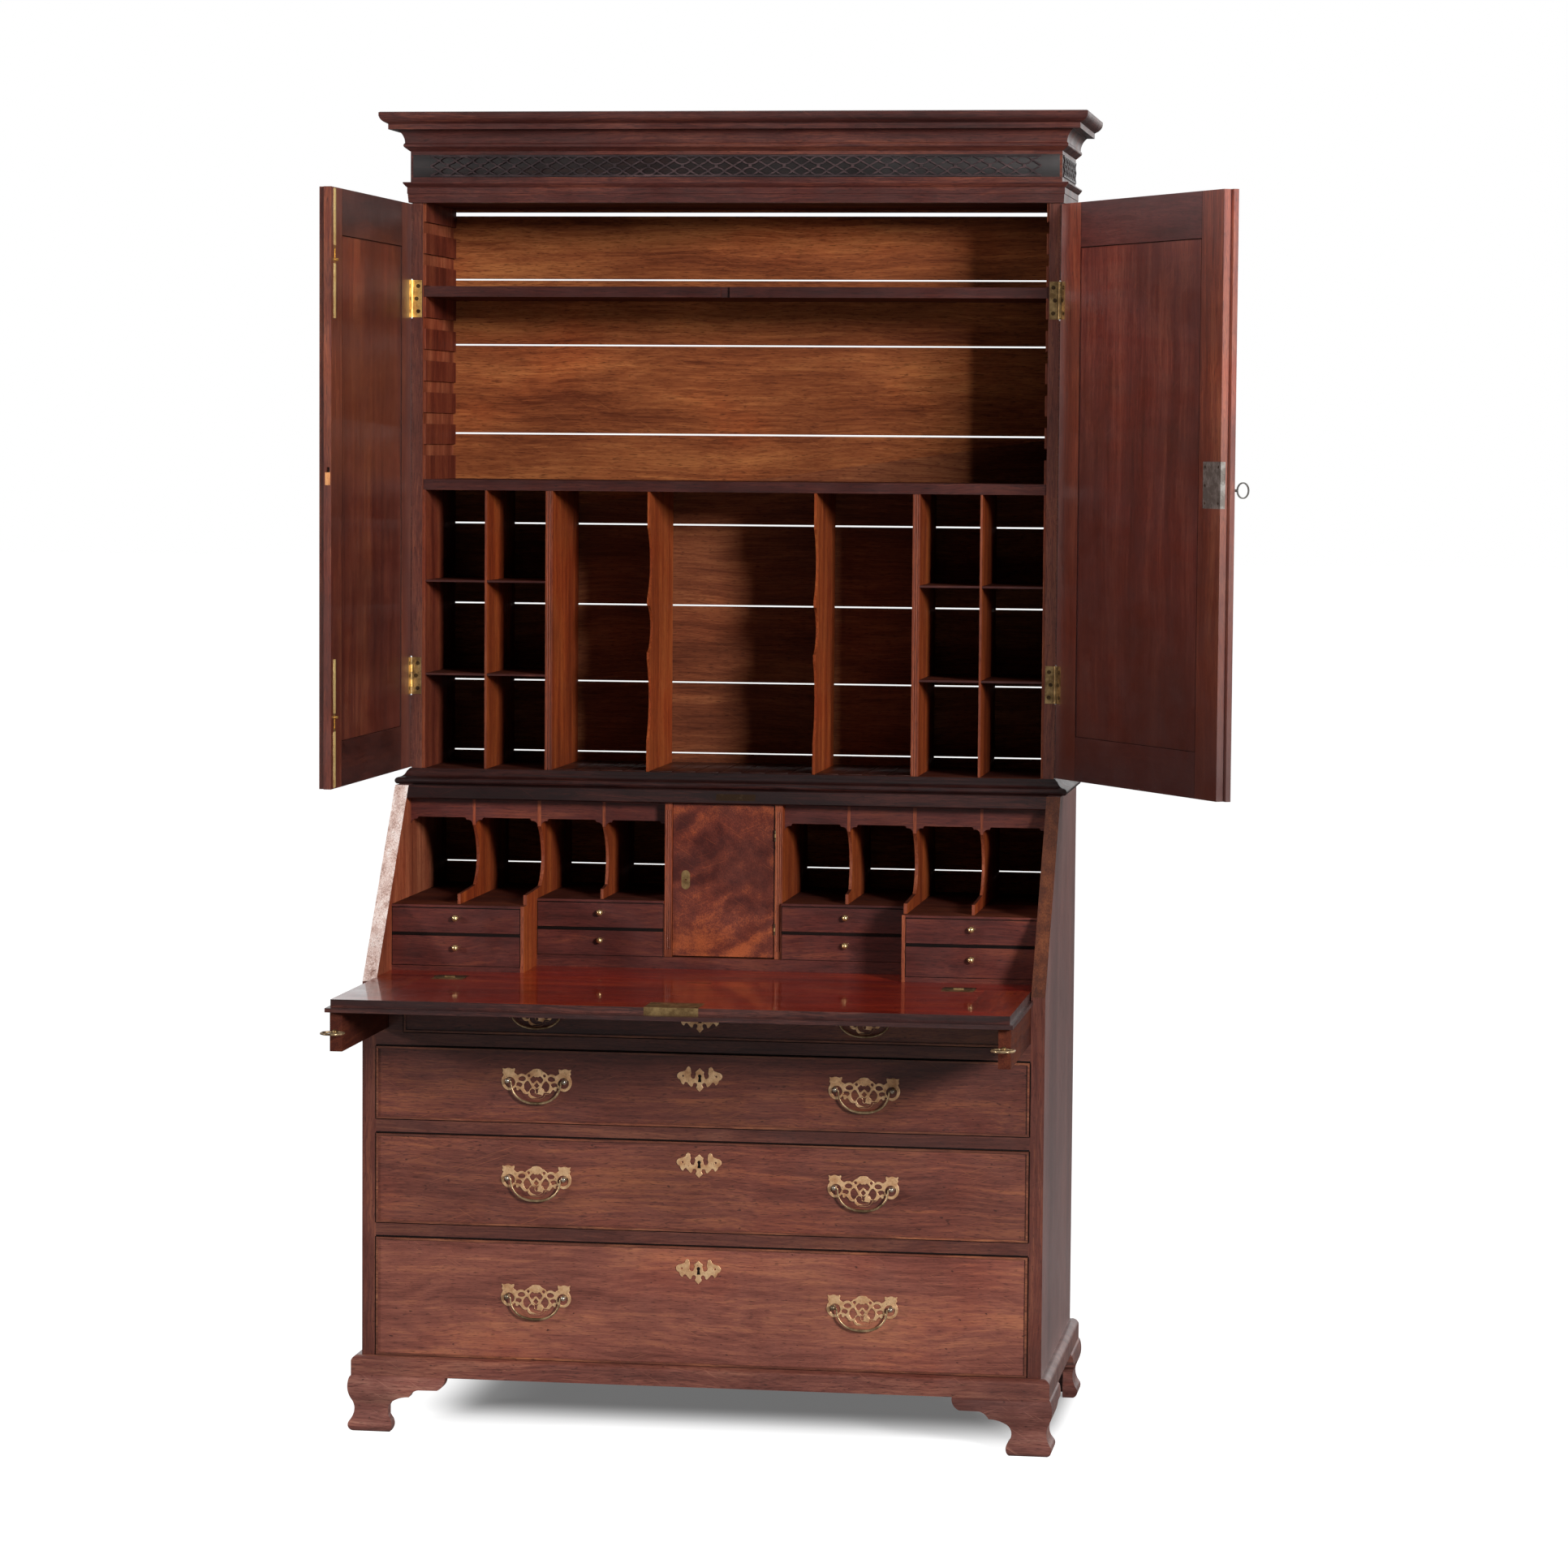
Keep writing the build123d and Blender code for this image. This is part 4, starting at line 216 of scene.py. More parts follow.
@dataclass(frozen=True)
class WoodFinish:
    """A waxed or dry board.

    Attributes:
        name: The material's name.
        dark: Display colour of the dark streaks.
        middle: Display colour of most of the board.
        light: Display colour of the light streaks.
        grain: The way that the fibres run.
        turn: Turn of the board about the vertical, in radians.
        figure: The pattern of the grain.
        streak_length: Length of a colour streak in metres.
        streak_width: Width of a colour streak in metres.
        roughness: Middle roughness of the surface.
        polish: Weight of the wax or varnish coat.
        polish_roughness: Roughness of that coat.
        scratches: Share of the surface that shows pale scratches.
        stains: Strength of large darker patches.
        cracks: Strength of long dark cracks along the grain.
        shift: Shift of the pattern in metres, so that two boards don't share one pattern.
        shine: Strength of the bare wood's own gloss.
        arches: Strength of the nested arches of a board sawn through its growth rings.
        arch_centre: Middle of those arches, in metres along x and z.
        arch_size: Width of the arches along x, y and z, or None for long arches along the grain.
        arch_warp: How far the arches are distorted.
        foot_shade: Two levels, the board being painted darker below the first, as painted shade, and
            unchanged above the second.
    """

    name: str
    dark: Shade
    middle: Shade
    light: Shade
    grain: Grain = Grain.ACROSS
    turn: float = 0.0
    figure: Figure = Figure.PLAIN
    streak_length: float = 0.55
    streak_width: float = 0.028
    roughness: float = 0.42
    polish: float = 0.25
    polish_roughness: float = 0.25
    scratches: float = 0.0
    stains: float = 0.35
    cracks: float = 0.0
    shift: float = 0.0
    shine: float = 0.35
    arches: float = 0.0
    arch_centre: Pair = (0.0, 0.0)
    arch_size: Triple | None = None
    arch_warp: float = 3.0
    foot_shade: Pair | None = None

    def along(self, length: float, width: float) -> Triple:
        """Give a pattern's sizes along x, y and z from those along and across the fibres."""
        return tuple(length if axis == self.grain.value else width for axis in range(3))

    def arched(self, shader: Shader, bent: Socket) -> Socket:
        """Make nested arches.

        Args:
            shader: The material's tree.
            bent: The warped coordinates.

        Returns:
            A small value to add to the grain.
        """
        centre = shader.mapped(
            bent, Location=(self.arch_centre[0], 0.0, self.arch_centre[1]),
            Scale=self.arch_size or self.along(0.52, 0.085),
        )
        rings = shader.node("TexWave", {
            "Vector": centre, "Scale": 2.6, "Distortion": self.arch_warp, "Detail": 3.0,
            "Detail Scale": 1.4,
        }, wave_type="RINGS", rings_direction="Y")
        waves = shader.span(rings.outputs["Fac"], 0.0, 1.0, -self.arches, self.arches)
        clouds = shader.noise(bent, (0.09, 0.09, 0.09), 2.0)
        return shader.maths("MULTIPLY", waves, shader.span(clouds, 0.4, 0.6, 0.1, 1.0))

    def grained(self, shader: Shader, place: Socket, bent: Socket, fibres: Socket) -> Socket:
        """Colour the streaks, fibres, flecks, ribbons and stains.

        Args:
            shader: The material's tree.
            place: The coordinates.
            bent: The warped coordinates.
            fibres: The finest streaks.

        Returns:
            The colour.
        """
        dark, middle, light = map(srgb, (self.dark, self.middle, self.light))
        length, width = self.streak_length, self.streak_width
        broad = shader.noise(bent, self.along(length, width * 3.2), 3.0)
        lines = shader.noise(bent, self.along(length * 0.6, width * 0.42), 5.0, 0.68, 0.25)
        mixed = shader.maths("MULTIPLY", broad, GRAIN_SHARES[0])
        for streaks, share in zip((lines, fibres), GRAIN_SHARES[1:]):
            mixed = shader.maths("ADD", mixed, shader.maths("MULTIPLY", streaks, share))
        if self.arches:
            mixed = shader.maths("ADD", mixed, self.arched(shader, bent))
        ramp = shader.node("ValToRGB", {"Fac": mixed})
        elements = ramp.color_ramp.elements
        elements.new(0.5)
        for element, stop, colour in zip(elements, GRAIN_STOPS, (dark, middle, light)):
            element.position, element.color = stop, (*colour, 1.0)
        flecks = shader.span(
            shader.noise(place, self.along(*FLECK_SIZES), 1.0), 0.58, 0.7, 0.0, 0.7
        )
        colour = shader.mix(flecks, ramp.outputs["Color"], dimmed(dark, 0.5))
        if self.figure is Figure.RIBBON:
            bands = shader.noise(bent, self.along(0.03, 0.35), 3.0, distortion=0.5)
            bands = shader.span(bands, 0.4, 0.65, 0.0, 0.35)
            colour = shader.mix(bands, colour, light, "SOFT_LIGHT")
        patches = shader.noise(place, (0.3, 0.3, 0.2), 4.0)
        stained = shader.span(patches, 0.4, 0.62, 0.0, self.stains)
        colour = shader.mix(stained, colour, dimmed(dark, 0.7))
        return shader.mix(
            shader.span(patches, 0.48, 0.3, 0.0, 0.35), colour, light, "SOFT_LIGHT"
        )

    def worn(self, shader: Shader, place: Socket, bent: Socket, colour: Socket) -> Socket:
        """Add pale scratches, dark dents, cracks and the painted shade towards the foot.

        Args:
            shader: The material's tree.
            place: The coordinates.
            bent: The warped coordinates.
            colour: The colour so far.

        Returns:
            The new colour.
        """
        dark, light = srgb(self.dark), srgb(self.light)
        if self.scratches:
            for lean, sizes in SCRATCH_SIZES:
                lines = shader.noise(place, sizes, 1.0, lean=lean)
                colour = shader.mix(shader.span(lines, 0.7, 0.76, 0.0, self.scratches), colour, light)
            dents = shader.noise(place, (0.011, 0.011, 0.006), 1.0)
            dents = shader.span(dents, 0.72, 0.78, 0.0, min(1.0, self.scratches * 1.6))
            colour = shader.mix(dents, colour, dimmed(dark, 0.4))
        if self.cracks:
            lines = shader.noise(bent, self.along(0.9, 0.011), 2.0, 0.3)
            edge = shader.maths("ABSOLUTE", shader.maths("SUBTRACT", lines, 0.5))
            cracks = shader.span(edge, 0.0, 0.018, self.cracks, 0.0)
            colour = shader.mix(cracks, colour, dimmed(dark, 0.25))
        # Painted shade: the board is darkened towards its foot, below the first of two levels.
        if self.foot_shade:
            level = shader.node("SeparateXYZ", {0: shader.coordinates["Object"]}).outputs["Z"]
            colour = shader.mix(shader.span(level, *self.foot_shade, 0.92, 0.0), colour, dimmed(dark, 0.45))
        return colour

    def make(self) -> Material:
        """Build the material.

        Returns:
            The material.
        """
        material = bpy.data.materials.new(self.name)
        shader = Shader(material)
        place = shader.mapped(
            shader.coordinates["Object"], Rotation=(0.0, 0.0, self.turn),
            Location=(self.shift, self.shift * 0.7, self.shift * 1.3),
        )
        wander = shader.node("TexNoise", {"Vector": place, "Scale": 3.2, "Detail": 2.0})
        sway = 0.07 if self.figure is Figure.CROTCH else 0.02
        bent = shader.mix(sway, place, wander.outputs["Color"], "LINEAR_LIGHT")
        fibres = shader.noise(bent, self.along(*FIBRE_SIZES), 3.0, 0.65)
        colour = self.worn(shader, place, bent, self.grained(shader, place, bent, fibres))
        rubbed = shader.noise(place, (0.06, 0.06, 0.06), 4.0)
        shader.feed(shader.surface, {
            "Base Color": colour,
            "Roughness": shader.span(rubbed, 0.3, 0.7, self.roughness - 0.07, self.roughness + 0.1),
            "Specular IOR Level": self.shine,
            "Coat Weight": self.polish,
            "Coat Roughness": self.polish_roughness,
        })
        shader.bump(fibres, 0.0003, 0.5)
        shader.bump(shader.noise(place, (0.05, 0.05, 0.05), 2.0), 0.0012, 0.35)
        return material


@dataclass(frozen=True)
class MetalFinish:
    """Old brass or steel.

    Attributes:
        name: The material's name.
        bright: Display colour where the metal is rubbed.
        tarnished: Display colour of the old skin.
        tarnish: Share of the surface with that skin, from 0 to 1.
        roughness: Middle roughness.
        grime: Strength of small dark specks.
        metallic: Share of the surface that shines as metal, the rest being a dull skin.
    """

    name: str
    bright: Shade
    tarnished: Shade
    tarnish: float = 0.5
    roughness: float = 0.36
    grime: float = 0.5
    metallic: float = 0.9

    def make(self) -> Material:
        """Build the material.

        Returns:
            The material.
        """
        material = bpy.data.materials.new(self.name)
        shader = Shader(material)
        tarnished = srgb(self.tarnished)
        place = shader.mapped(shader.coordinates["Object"])
        clouds = shader.noise(place, (0.02, 0.02, 0.02), 6.0, 0.65)
        low = 0.7 - self.tarnish * 0.5
        skin = shader.span(clouds, low - 0.1, low + 0.15, 0.0, 1.0)
        specks = shader.noise(place, (0.0022, 0.0022, 0.0022), 2.0)
        colour = shader.mix(
            shader.span(specks, 0.6, 0.75, 0.0, self.grime),
            shader.mix(skin, srgb(self.bright), tarnished), dimmed(tarnished, 0.3),
        )
        shader.feed(shader.surface, {
            "Base Color": colour,
            "Roughness": shader.span(clouds, 0.3, 0.7, self.roughness - 0.07, self.roughness + 0.14),
            "Metallic": self.metallic,
        })
        shader.bump(specks, 0.0002, 0.4)
        shader.bump(clouds, 0.0006, 0.3)
        return material


DRY = {"roughness": 0.72, "polish": 0.0, "shine": 0.12}
OAK = {"streak_length": 0.35, "streak_width": 0.016, "stains": 0.35, "scratches": 0.25}
VARNISH = {"roughness": 0.34, "polish": 0.6, "polish_roughness": 0.06}
DEEP, UPRIGHT = Grain.DEEP, Grain.UPRIGHT

WOODS = (
    WoodFinish("bottom_drawer_mahogany", (82, 39, 31), (126, 71, 58), (162, 100, 72),
               streak_length=0.5, scratches=0.55, stains=0.25, arches=0.022,
               arch_centre=(0.28, 0.215)),
    WoodFinish("third_drawer_mahogany", (70, 31, 24), (110, 59, 47), (146, 86, 58),
               streak_length=0.5, scratches=0.45, arches=0.02, arch_centre=(-0.36, 0.47),
               shift=2.3),
    WoodFinish("second_drawer_mahogany", (62, 26, 20), (100, 51, 41), (138, 80, 52),
               streak_length=0.6, scratches=0.4, stains=0.4, shift=3.1),
    WoodFinish("rail_mahogany", (56, 25, 20), (88, 46, 37), (118, 70, 52), streak_width=0.012,
               stains=0.3, scratches=0.3),
    WoodFinish("cock_bead_mahogany", (72, 34, 24), (110, 60, 42), (156, 98, 66),
               streak_length=0.2, streak_width=0.01, stains=0.5),
    WoodFinish("moulding_mahogany", (70, 33, 26), (112, 62, 52), (150, 96, 76),
               streak_width=0.012, stains=0.4, scratches=0.4, polish=0.35),
    WoodFinish("cornice_mahogany", (46, 19, 16), (78, 37, 32), (118, 64, 48),
               streak_width=0.014, polish=0.35, scratches=0.2),
    # The outer sides' pale pinkish tones are partly painted sheen, standing for the white room seen
    # at a grazing angle, over the wood's own grain and cracks.
    WoodFinish("side_mahogany", (88, 48, 44), (128, 82, 76), (162, 116, 104), UPRIGHT,
               streak_length=0.9, streak_width=0.04, roughness=0.45, polish=0.85,
               polish_roughness=0.3, cracks=0.85, stains=0.3, scratches=0.3, shine=0.5),
    WoodFinish("front_edge_mahogany", (62, 27, 20), (94, 47, 37), (126, 72, 52), UPRIGHT,
               streak_width=0.012, scratches=0.3),
    WoodFinish("inner_side_mahogany", (96, 42, 26), (136, 70, 46), (170, 102, 70), UPRIGHT,
               streak_length=0.5, streak_width=0.014, **DRY),
    WoodFinish("ladder_block_mahogany", (72, 26, 16), (106, 46, 30), (134, 68, 42), UPRIGHT,
               streak_width=0.012, **DRY),
    # Near-black finish for the lines and boards that paint the shade in gaps, grooves, keyholes and
    # round the door panels; only where the doors' rails meet their stiles does it mark real dark
    # joints.
    WoodFinish("dirt_dark_joint", (10, 4, 3), (18, 8, 6), (30, 14, 10), **DRY),
    WoodFinish("waist_mahogany", (20, 6, 6), (36, 13, 12), (72, 34, 28), streak_width=0.012,
               scratches=0.5, polish=0.15),
    WoodFinish("bare_mahogany", (170, 104, 62), (214, 150, 100), (232, 180, 130), UPRIGHT,
               streak_width=0.004, **DRY),
    # Near-white tones of the left sloping edge are a painted highlight; its scratches and stains are
    # wear.
    WoodFinish("worn_edge_mahogany", (130, 90, 76), (214, 186, 176), (246, 234, 228), UPRIGHT,
               streak_width=0.006, streak_length=0.12, roughness=0.5, stains=0.25,
               scratches=0.4),
    WoodFinish("orange_edge_oak", (54, 22, 10), (88, 42, 20), (118, 64, 34), UPRIGHT,
               streak_width=0.006, stains=0.3),
    WoodFinish("foot_mahogany", (76, 38, 32), (132, 80, 70), (170, 118, 100),
               streak_length=0.3, streak_width=0.02, scratches=0.5, stains=0.6),
    WoodFinish("inner_mahogany", (50, 18, 11), (80, 34, 20), (112, 56, 32), stains=0.3, **DRY),
    WoodFinish("inner_mahogany_deep", (44, 15, 10), (72, 30, 19), (102, 50, 30), DEEP,
               stains=0.3, **DRY),
    WoodFinish("inner_mahogany_upright", (88, 32, 12), (130, 56, 24), (164, 84, 38), UPRIGHT,
               streak_width=0.014, stains=0.3, **DRY),
    WoodFinish("orange_partition", (98, 38, 16), (138, 62, 28), (168, 90, 44), UPRIGHT,
               streak_width=0.012, stains=0.2, **DRY),
    WoodFinish("rack_edge_mahogany", (84, 34, 18), (122, 56, 32), (150, 80, 48), UPRIGHT,
               streak_width=0.008),
    WoodFinish("slat_mahogany", (34, 14, 11), (54, 25, 19), (78, 40, 30), DEEP,
               streak_width=0.01, stains=0.5),
    WoodFinish("shelf_mahogany", (44, 16, 14), (70, 29, 24), (100, 50, 38), streak_width=0.01),
    WoodFinish("gallery_mahogany", (56, 20, 17), (88, 38, 32), (120, 60, 42),
               streak_length=0.25, streak_width=0.016, stains=0.45, polish=0.3,
               polish_roughness=0.22, scratches=0.15),
    WoodFinish("gallery_edge_mahogany", (96, 42, 24), (132, 64, 40), (164, 92, 58), UPRIGHT,
               streak_width=0.006),
    WoodFinish("prospect_crotch_mahogany", (66, 20, 13), (106, 46, 31), (168, 84, 46), DEEP,
               figure=Figure.CROTCH, streak_length=0.16, streak_width=0.05, polish=0.4,
               polish_roughness=0.18, scratches=0.3, stains=0.4, arches=0.07,
               arch_centre=(0.075, 0.775), arch_size=(0.3, 0.4, 0.3), arch_warp=7.0),
    WoodFinish("fall_mahogany", (88, 9, 1), (140, 24, 5), (196, 66, 18), streak_length=0.7,
               streak_width=0.03, **VARNISH),
    WoodFinish("fall_clamp_mahogany", (86, 14, 4), (132, 32, 10), (178, 66, 24), DEEP,
               streak_length=0.4, streak_width=0.02, **VARNISH),
    WoodFinish("fall_edge_mahogany", (34, 14, 13), (58, 27, 24), (104, 58, 48),
               streak_width=0.008, stains=0.4, polish=0.4),
    WoodFinish("back_board_oak", (92, 42, 21), (142, 77, 42), (180, 110, 62), arches=0.015,
               arch_centre=(0.1, 1.8), **OAK, **DRY),
    # Back boards behind the letter racks, painted darker as the shade inside the pigeonholes.
    WoodFinish("lower_back_board_oak", (70, 32, 18), (112, 60, 36), (146, 88, 54), shift=0.8,
               **OAK, **DRY),
    WoodFinish("drawer_lining_oak", (110, 72, 40), (150, 106, 64), (184, 142, 92), DEEP,
               streak_width=0.012, roughness=0.6, polish=0.0, stains=0.4),
    WoodFinish("fret_mahogany", (26, 17, 18), (48, 35, 37), (88, 66, 66), streak_width=0.008,
               scratches=0.4, polish=0.3),
    # Near-black ground behind the fret: painted shade of its recess.
    WoodFinish("fret_ground_mahogany", (12, 5, 5), (22, 10, 9), (40, 20, 17),
               streak_width=0.01),
)

METALS = (
    MetalFinish("antique_brass", (248, 206, 158), (196, 146, 104), 0.45, 0.42, 0.7, 0.72),
    MetalFinish("handled_brass", (214, 184, 142), (112, 90, 64), 0.5, 0.34, metallic=0.8),
    MetalFinish("worn_post_metal", (214, 202, 184), (120, 104, 84), 0.5, 0.26, metallic=0.85),
    MetalFinish("gilded_brass", (236, 198, 120), (176, 130, 74), 0.35, 0.34),
    MetalFinish("dull_brass", (196, 164, 112), (118, 92, 60), 0.55, 0.42),
    MetalFinish("old_steel", (176, 172, 166), (112, 104, 98), 0.6, 0.4, metallic=0.55),
    MetalFinish("rubbed_steel", (150, 148, 144), (82, 78, 74), 0.5, 0.3),
    MetalFinish("turned_brass", (232, 204, 146), (160, 122, 76), 0.3, 0.25),
    MetalFinish("brown_screw", (112, 88, 58), (58, 42, 30), 0.6, 0.45),
    MetalFinish("bright_bolt_brass", (252, 222, 150), (206, 160, 92), 0.25, 0.4, metallic=0.6),
    MetalFinish("brown_brass", (120, 98, 72), (70, 52, 38), 0.7, 0.45),
)


def door_woods() -> list[WoodFinish]:
    """List the finishes of both doors. The right one is painted lighter and redder than the left for
    the light on it, and painted darker towards its foot as painted shade.

    Returns:
        A stile, a rail and a panel finish for each door.
    """
    brown = ((66, 25, 18), (104, 48, 35), (146, 80, 52))
    woods = []
    for side, stile, rail, panel, foot_shade in (
        ("left", brown, ((46, 18, 14), (72, 32, 25), (104, 54, 40)), brown, None),
        # The right door's lighter, redder tones are painted light on it, and its two levels paint
        # shade towards its foot.
        ("right", ((92, 34, 24), (150, 70, 50), (196, 112, 78)),
         ((72, 26, 24), (116, 54, 50), (150, 84, 74)),
         ((74, 24, 20), (126, 56, 48), (176, 100, 80)), (1.15, 2.05)),
    ):
        waxed = {
            "turn": DOOR_TURNS[side], "polish": 0.75, "polish_roughness": 0.34, "shine": 0.5,
            "foot_shade": foot_shade,
        }
        woods += [
            WoodFinish(f"{side}_door_stile_mahogany", *stile, UPRIGHT, streak_width=0.016,
                       stains=0.4, **waxed),
            WoodFinish(f"{side}_door_rail_mahogany", *rail, streak_width=0.014,
                       streak_length=0.4, **waxed),
            WoodFinish(f"{side}_door_panel_mahogany", *panel, UPRIGHT, figure=Figure.RIBBON,
                       streak_width=0.03, streak_length=0.7, shift=1.7, scratches=0.25,
                       stains=0.5, **waxed),
        ]
    return woods


def deselect_all() -> None:
    """Leave nothing selected, for the operators act on whatever is."""
    if bpy.context.mode != "OBJECT":
        bpy.ops.object.mode_set(mode="OBJECT")
    bpy.ops.object.select_all(action="DESELECT")


def pick(piece: Piece, others: Sequence[Piece] = ()) -> None:
    """Select a piece as the active one, with others beside it.

    Args:
        piece: The piece that becomes active.
        others: More pieces to select.
    """
    deselect_all()
    for each in (*others, piece):
        each.select_set(True)
    bpy.context.view_layer.objects.active = piece


def settle(piece: Piece) -> None:
    """Move a piece's place into its mesh."""
    pick(piece)
    bpy.ops.object.transform_apply(location=True, rotation=True, scale=True)


def smooth(piece: Piece, angle: float) -> None:
    """Shade a piece smooth but for edges sharper than some degrees."""
    pick(piece)
    bpy.ops.object.shade_smooth_by_angle(angle=math.radians(angle))


def board(name: str, low: Triple, high: Triple, round_off: float = 0.0001) -> Piece:
    """Make a board with rounded arrises.

    Args:
        name: The piece's name.
        low: Its lowest corner.
        high: Its highest corner.
        round_off: Width of the rounding.

    Returns:
        The board.
    """
    deselect_all()
    middle = [(a + b) / 2 for a, b in zip(low, high)]
    bpy.ops.mesh.primitive_cube_add(size=1.0, location=middle)
    piece = bpy.context.active_object
    piece.name = name
    piece.scale = [b - a for a, b in zip(low, high)]
    settle(piece)
    bpy.ops.object.mode_set(mode="EDIT")
    bpy.ops.mesh.select_all(action="SELECT")
    bpy.ops.mesh.bevel(offset=round_off, segments=2, affect="EDGES")
    bpy.ops.object.mode_set(mode="OBJECT")
    smooth(piece, 35.0)
    return piece


def curved(curve: bpy.types.Curve, place: Vector, tilt: float, angle: float) -> Piece:
    """Make a mesh of a curve.

    Args:
        curve: The curve.
        place: Where its origin goes.
        tilt: Turn about the x axis, in radians.
        angle: Edges sharper than this many degrees stay crisp.

    Returns:
        The piece.
    """
    piece = bpy.data.objects.new(curve.name, curve)
    bpy.context.scene.collection.objects.link(piece)
    pick(piece)
    bpy.ops.object.convert(target="MESH")
    piece = bpy.context.active_object
    piece.rotation_euler = (tilt, 0.0, 0.0)
    piece.location = place
    settle(piece)
    smooth(piece, angle)
    return piece


def add_loop(curve: bpy.types.Curve, kind: str, points: Sequence[Triple]) -> bpy.types.Spline:
    """Add a spline through points, which stay in metres.

    Args:
        curve: The curve that gets it.
        kind: Its type.
        points: Its points.

    Returns:
        The spline.
    """
    spline = curve.splines.new(kind)
    spline.points.add(len(points) - 1)
    for point, place in zip(spline.points, points):
        point.co = (*place, 1.0)
    return spline


def rounded(points: Sequence[Pair], closed: bool) -> list[Pair]:
    """Cut the corners of an outline.

    Args:
        points: The outline.
        closed: Whether its last point joins its first.

    Returns:
        The smoother outline.
    """
    line = [] if closed else [points[0]]
    for index in range(len(points) - (not closed)):
        (x0, z0), (x1, z1) = points[index], points[(index + 1) % len(points)]
        line.append((x0 * 0.75 + x1 * 0.25, z0 * 0.75 + z1 * 0.25))
        line.append((x0 * 0.25 + x1 * 0.75, z0 * 0.25 + z1 * 0.75))
    return line if closed else line + [points[-1]]


@dataclass
class Assembly:
    """A sub-assembly and the finishes that it is given."""

    finishes: dict[str, Material]

    def dress(self, node: str, names: Sequence[str], choose: Chooser | None = None) -> None:
        """Give a CAD node its materials.

        Args:
            node: The node's name.
            names: Names of its finishes.
            choose: Gives the place in that list for a face's centre and normal.
        """
        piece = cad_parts[node]
        piece.data.materials.clear()
        for name in names:
            piece.data.materials.append(self.finishes[name])
        for face in piece.data.polygons:
            face.material_index = choose(face.center, face.normal) if choose else 0
        log.info("%s: %d finishes", node, len(names))

    def hang(self, pieces: Sequence[Piece], name: str, finish: str, body: str,
             slot: str = "mahogany", node: str = "") -> None:
        """Join pieces, finish them and hang them on a body.

        Args:
            pieces: The pieces.
            name: The name of what they become.
            finish: Its finish, or nothing where the pieces have their own.
            body: The body that it moves with.
            slot: What it is made of; not used.
            node: The CAD node that it replaces, if there is one.
        """
        pick(pieces[0], pieces[1:])
        if len(pieces) > 1:
            bpy.ops.object.join()
        piece = pieces[0]
        piece.name = name
        if finish:
            piece.data.materials.clear()
            piece.data.materials.append(self.finishes[finish])
        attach(piece, body)
        if node:
            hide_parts(node)
        log.info("%s: %d pieces", name, len(pieces))


def hinge_of(side: str) -> Vector:
    """Give the foot of a bookcase door's hinge axis."""
    return Vector((SIGNS[side] * DOOR_HINGE_X, DOOR_HINGE_Y, 0.0))


def bands(axis: int, *limits: float) -> Chooser:
    """Choose a finish by the band along an axis that a face lies in, the lowest band first."""
    return lambda centre, normal: sum(centre[axis] >= limit for limit in limits)


@dataclass
class FlatPlate:
    """A thin metal plate that stands upright and faces the front, with openings sawn through it.

    Attributes:
        name: The piece's name.
        outline_mm: Right half of the edge from its top middle to its bottom middle.
        openings_mm: Closed openings, each with its right half or its whole outline.
        discs_mm: Round openings as (x, z, radius), each with a twin on the left.
        thickness: Thickness of the plate.
        edge: Width of the rounded edge.
        growth: How much larger the openings are cut than they are listed.
        width_share: Share of the listed widths that the plate has.
        height_share: Share of the listed heights that it has.
        disc_points: Number of points round a round opening.
    """

    name: str
    outline_mm: Sequence[Pair]
    openings_mm: Sequence[Sequence[Pair]] = ()
    discs_mm: Sequence[Triple] = ()
    thickness: float = 0.0015
    edge: float = 0.0003
    growth: float = 1.0
    width_share: float = 0.97
    height_share: float = 0.985
    disc_points: int = 16

    def mirrored(self, half: Sequence[Pair]) -> list[Pair]:
        """Complete an outline whose first and last points lie on the middle line."""
        return list(half) + [(-x, z) for x, z in reversed(half[1:-1])]

    def grown(self, opening: Sequence[Pair]) -> list[Pair]:
        """Grow an opening about its own middle, or sideways only where it crosses the middle line."""
        across = [x for x, _ in opening]
        level = sum(z for _, z in opening) / len(opening)
        middle = 0.0 if min(across) <= 0 else sum(across) / len(across)
        return [
            (middle + (x - middle) * self.growth, level + (z - level) * self.growth)
            for x, z in opening
        ]

    def loops(self) -> list[list[Pair]]:
        """Give every closed outline of the plate, in millimetres."""
        loops = [self.mirrored(self.outline_mm)]
        for opening in map(self.grown, self.openings_mm):
            if opening[0][0] == 0 and opening[-1][0] == 0:
                loops.append(self.mirrored(opening))
            else:
                loops += [list(opening), [(-x, z) for x, z in reversed(opening)]]
        steps = [2 * math.pi * index / self.disc_points for index in range(self.disc_points)]
        for x, z, radius in self.discs_mm:
            for middle in (x, -x):
                loops.append([
                    (middle + radius * math.cos(step), z + radius * math.sin(step)) for step in steps
                ])
        return loops

    def build(self, middle: Vector) -> Piece:
        """Make the plate.

        Args:
            middle: Place of its middle, on the face that it lies on.

        Returns:
            The finished piece.
        """
        curve = bpy.data.curves.new(self.name, "CURVE")
        curve.dimensions = "2D"
        curve.fill_mode = "BOTH"
        curve.extrude = self.thickness / 2 - self.edge
        curve.bevel_depth = self.edge
        curve.bevel_resolution = 1
        curve.offset = -self.edge
        for loop in self.loops():
            points = [(x * MM * self.width_share, z * MM * self.height_share, 0.0) for x, z in loop]
            add_loop(curve, "POLY", points).use_cyclic_u = True
        face = middle - Vector((0.0, self.thickness / 2, 0.0))
        return curved(curve, face, math.pi / 2, 35.0)


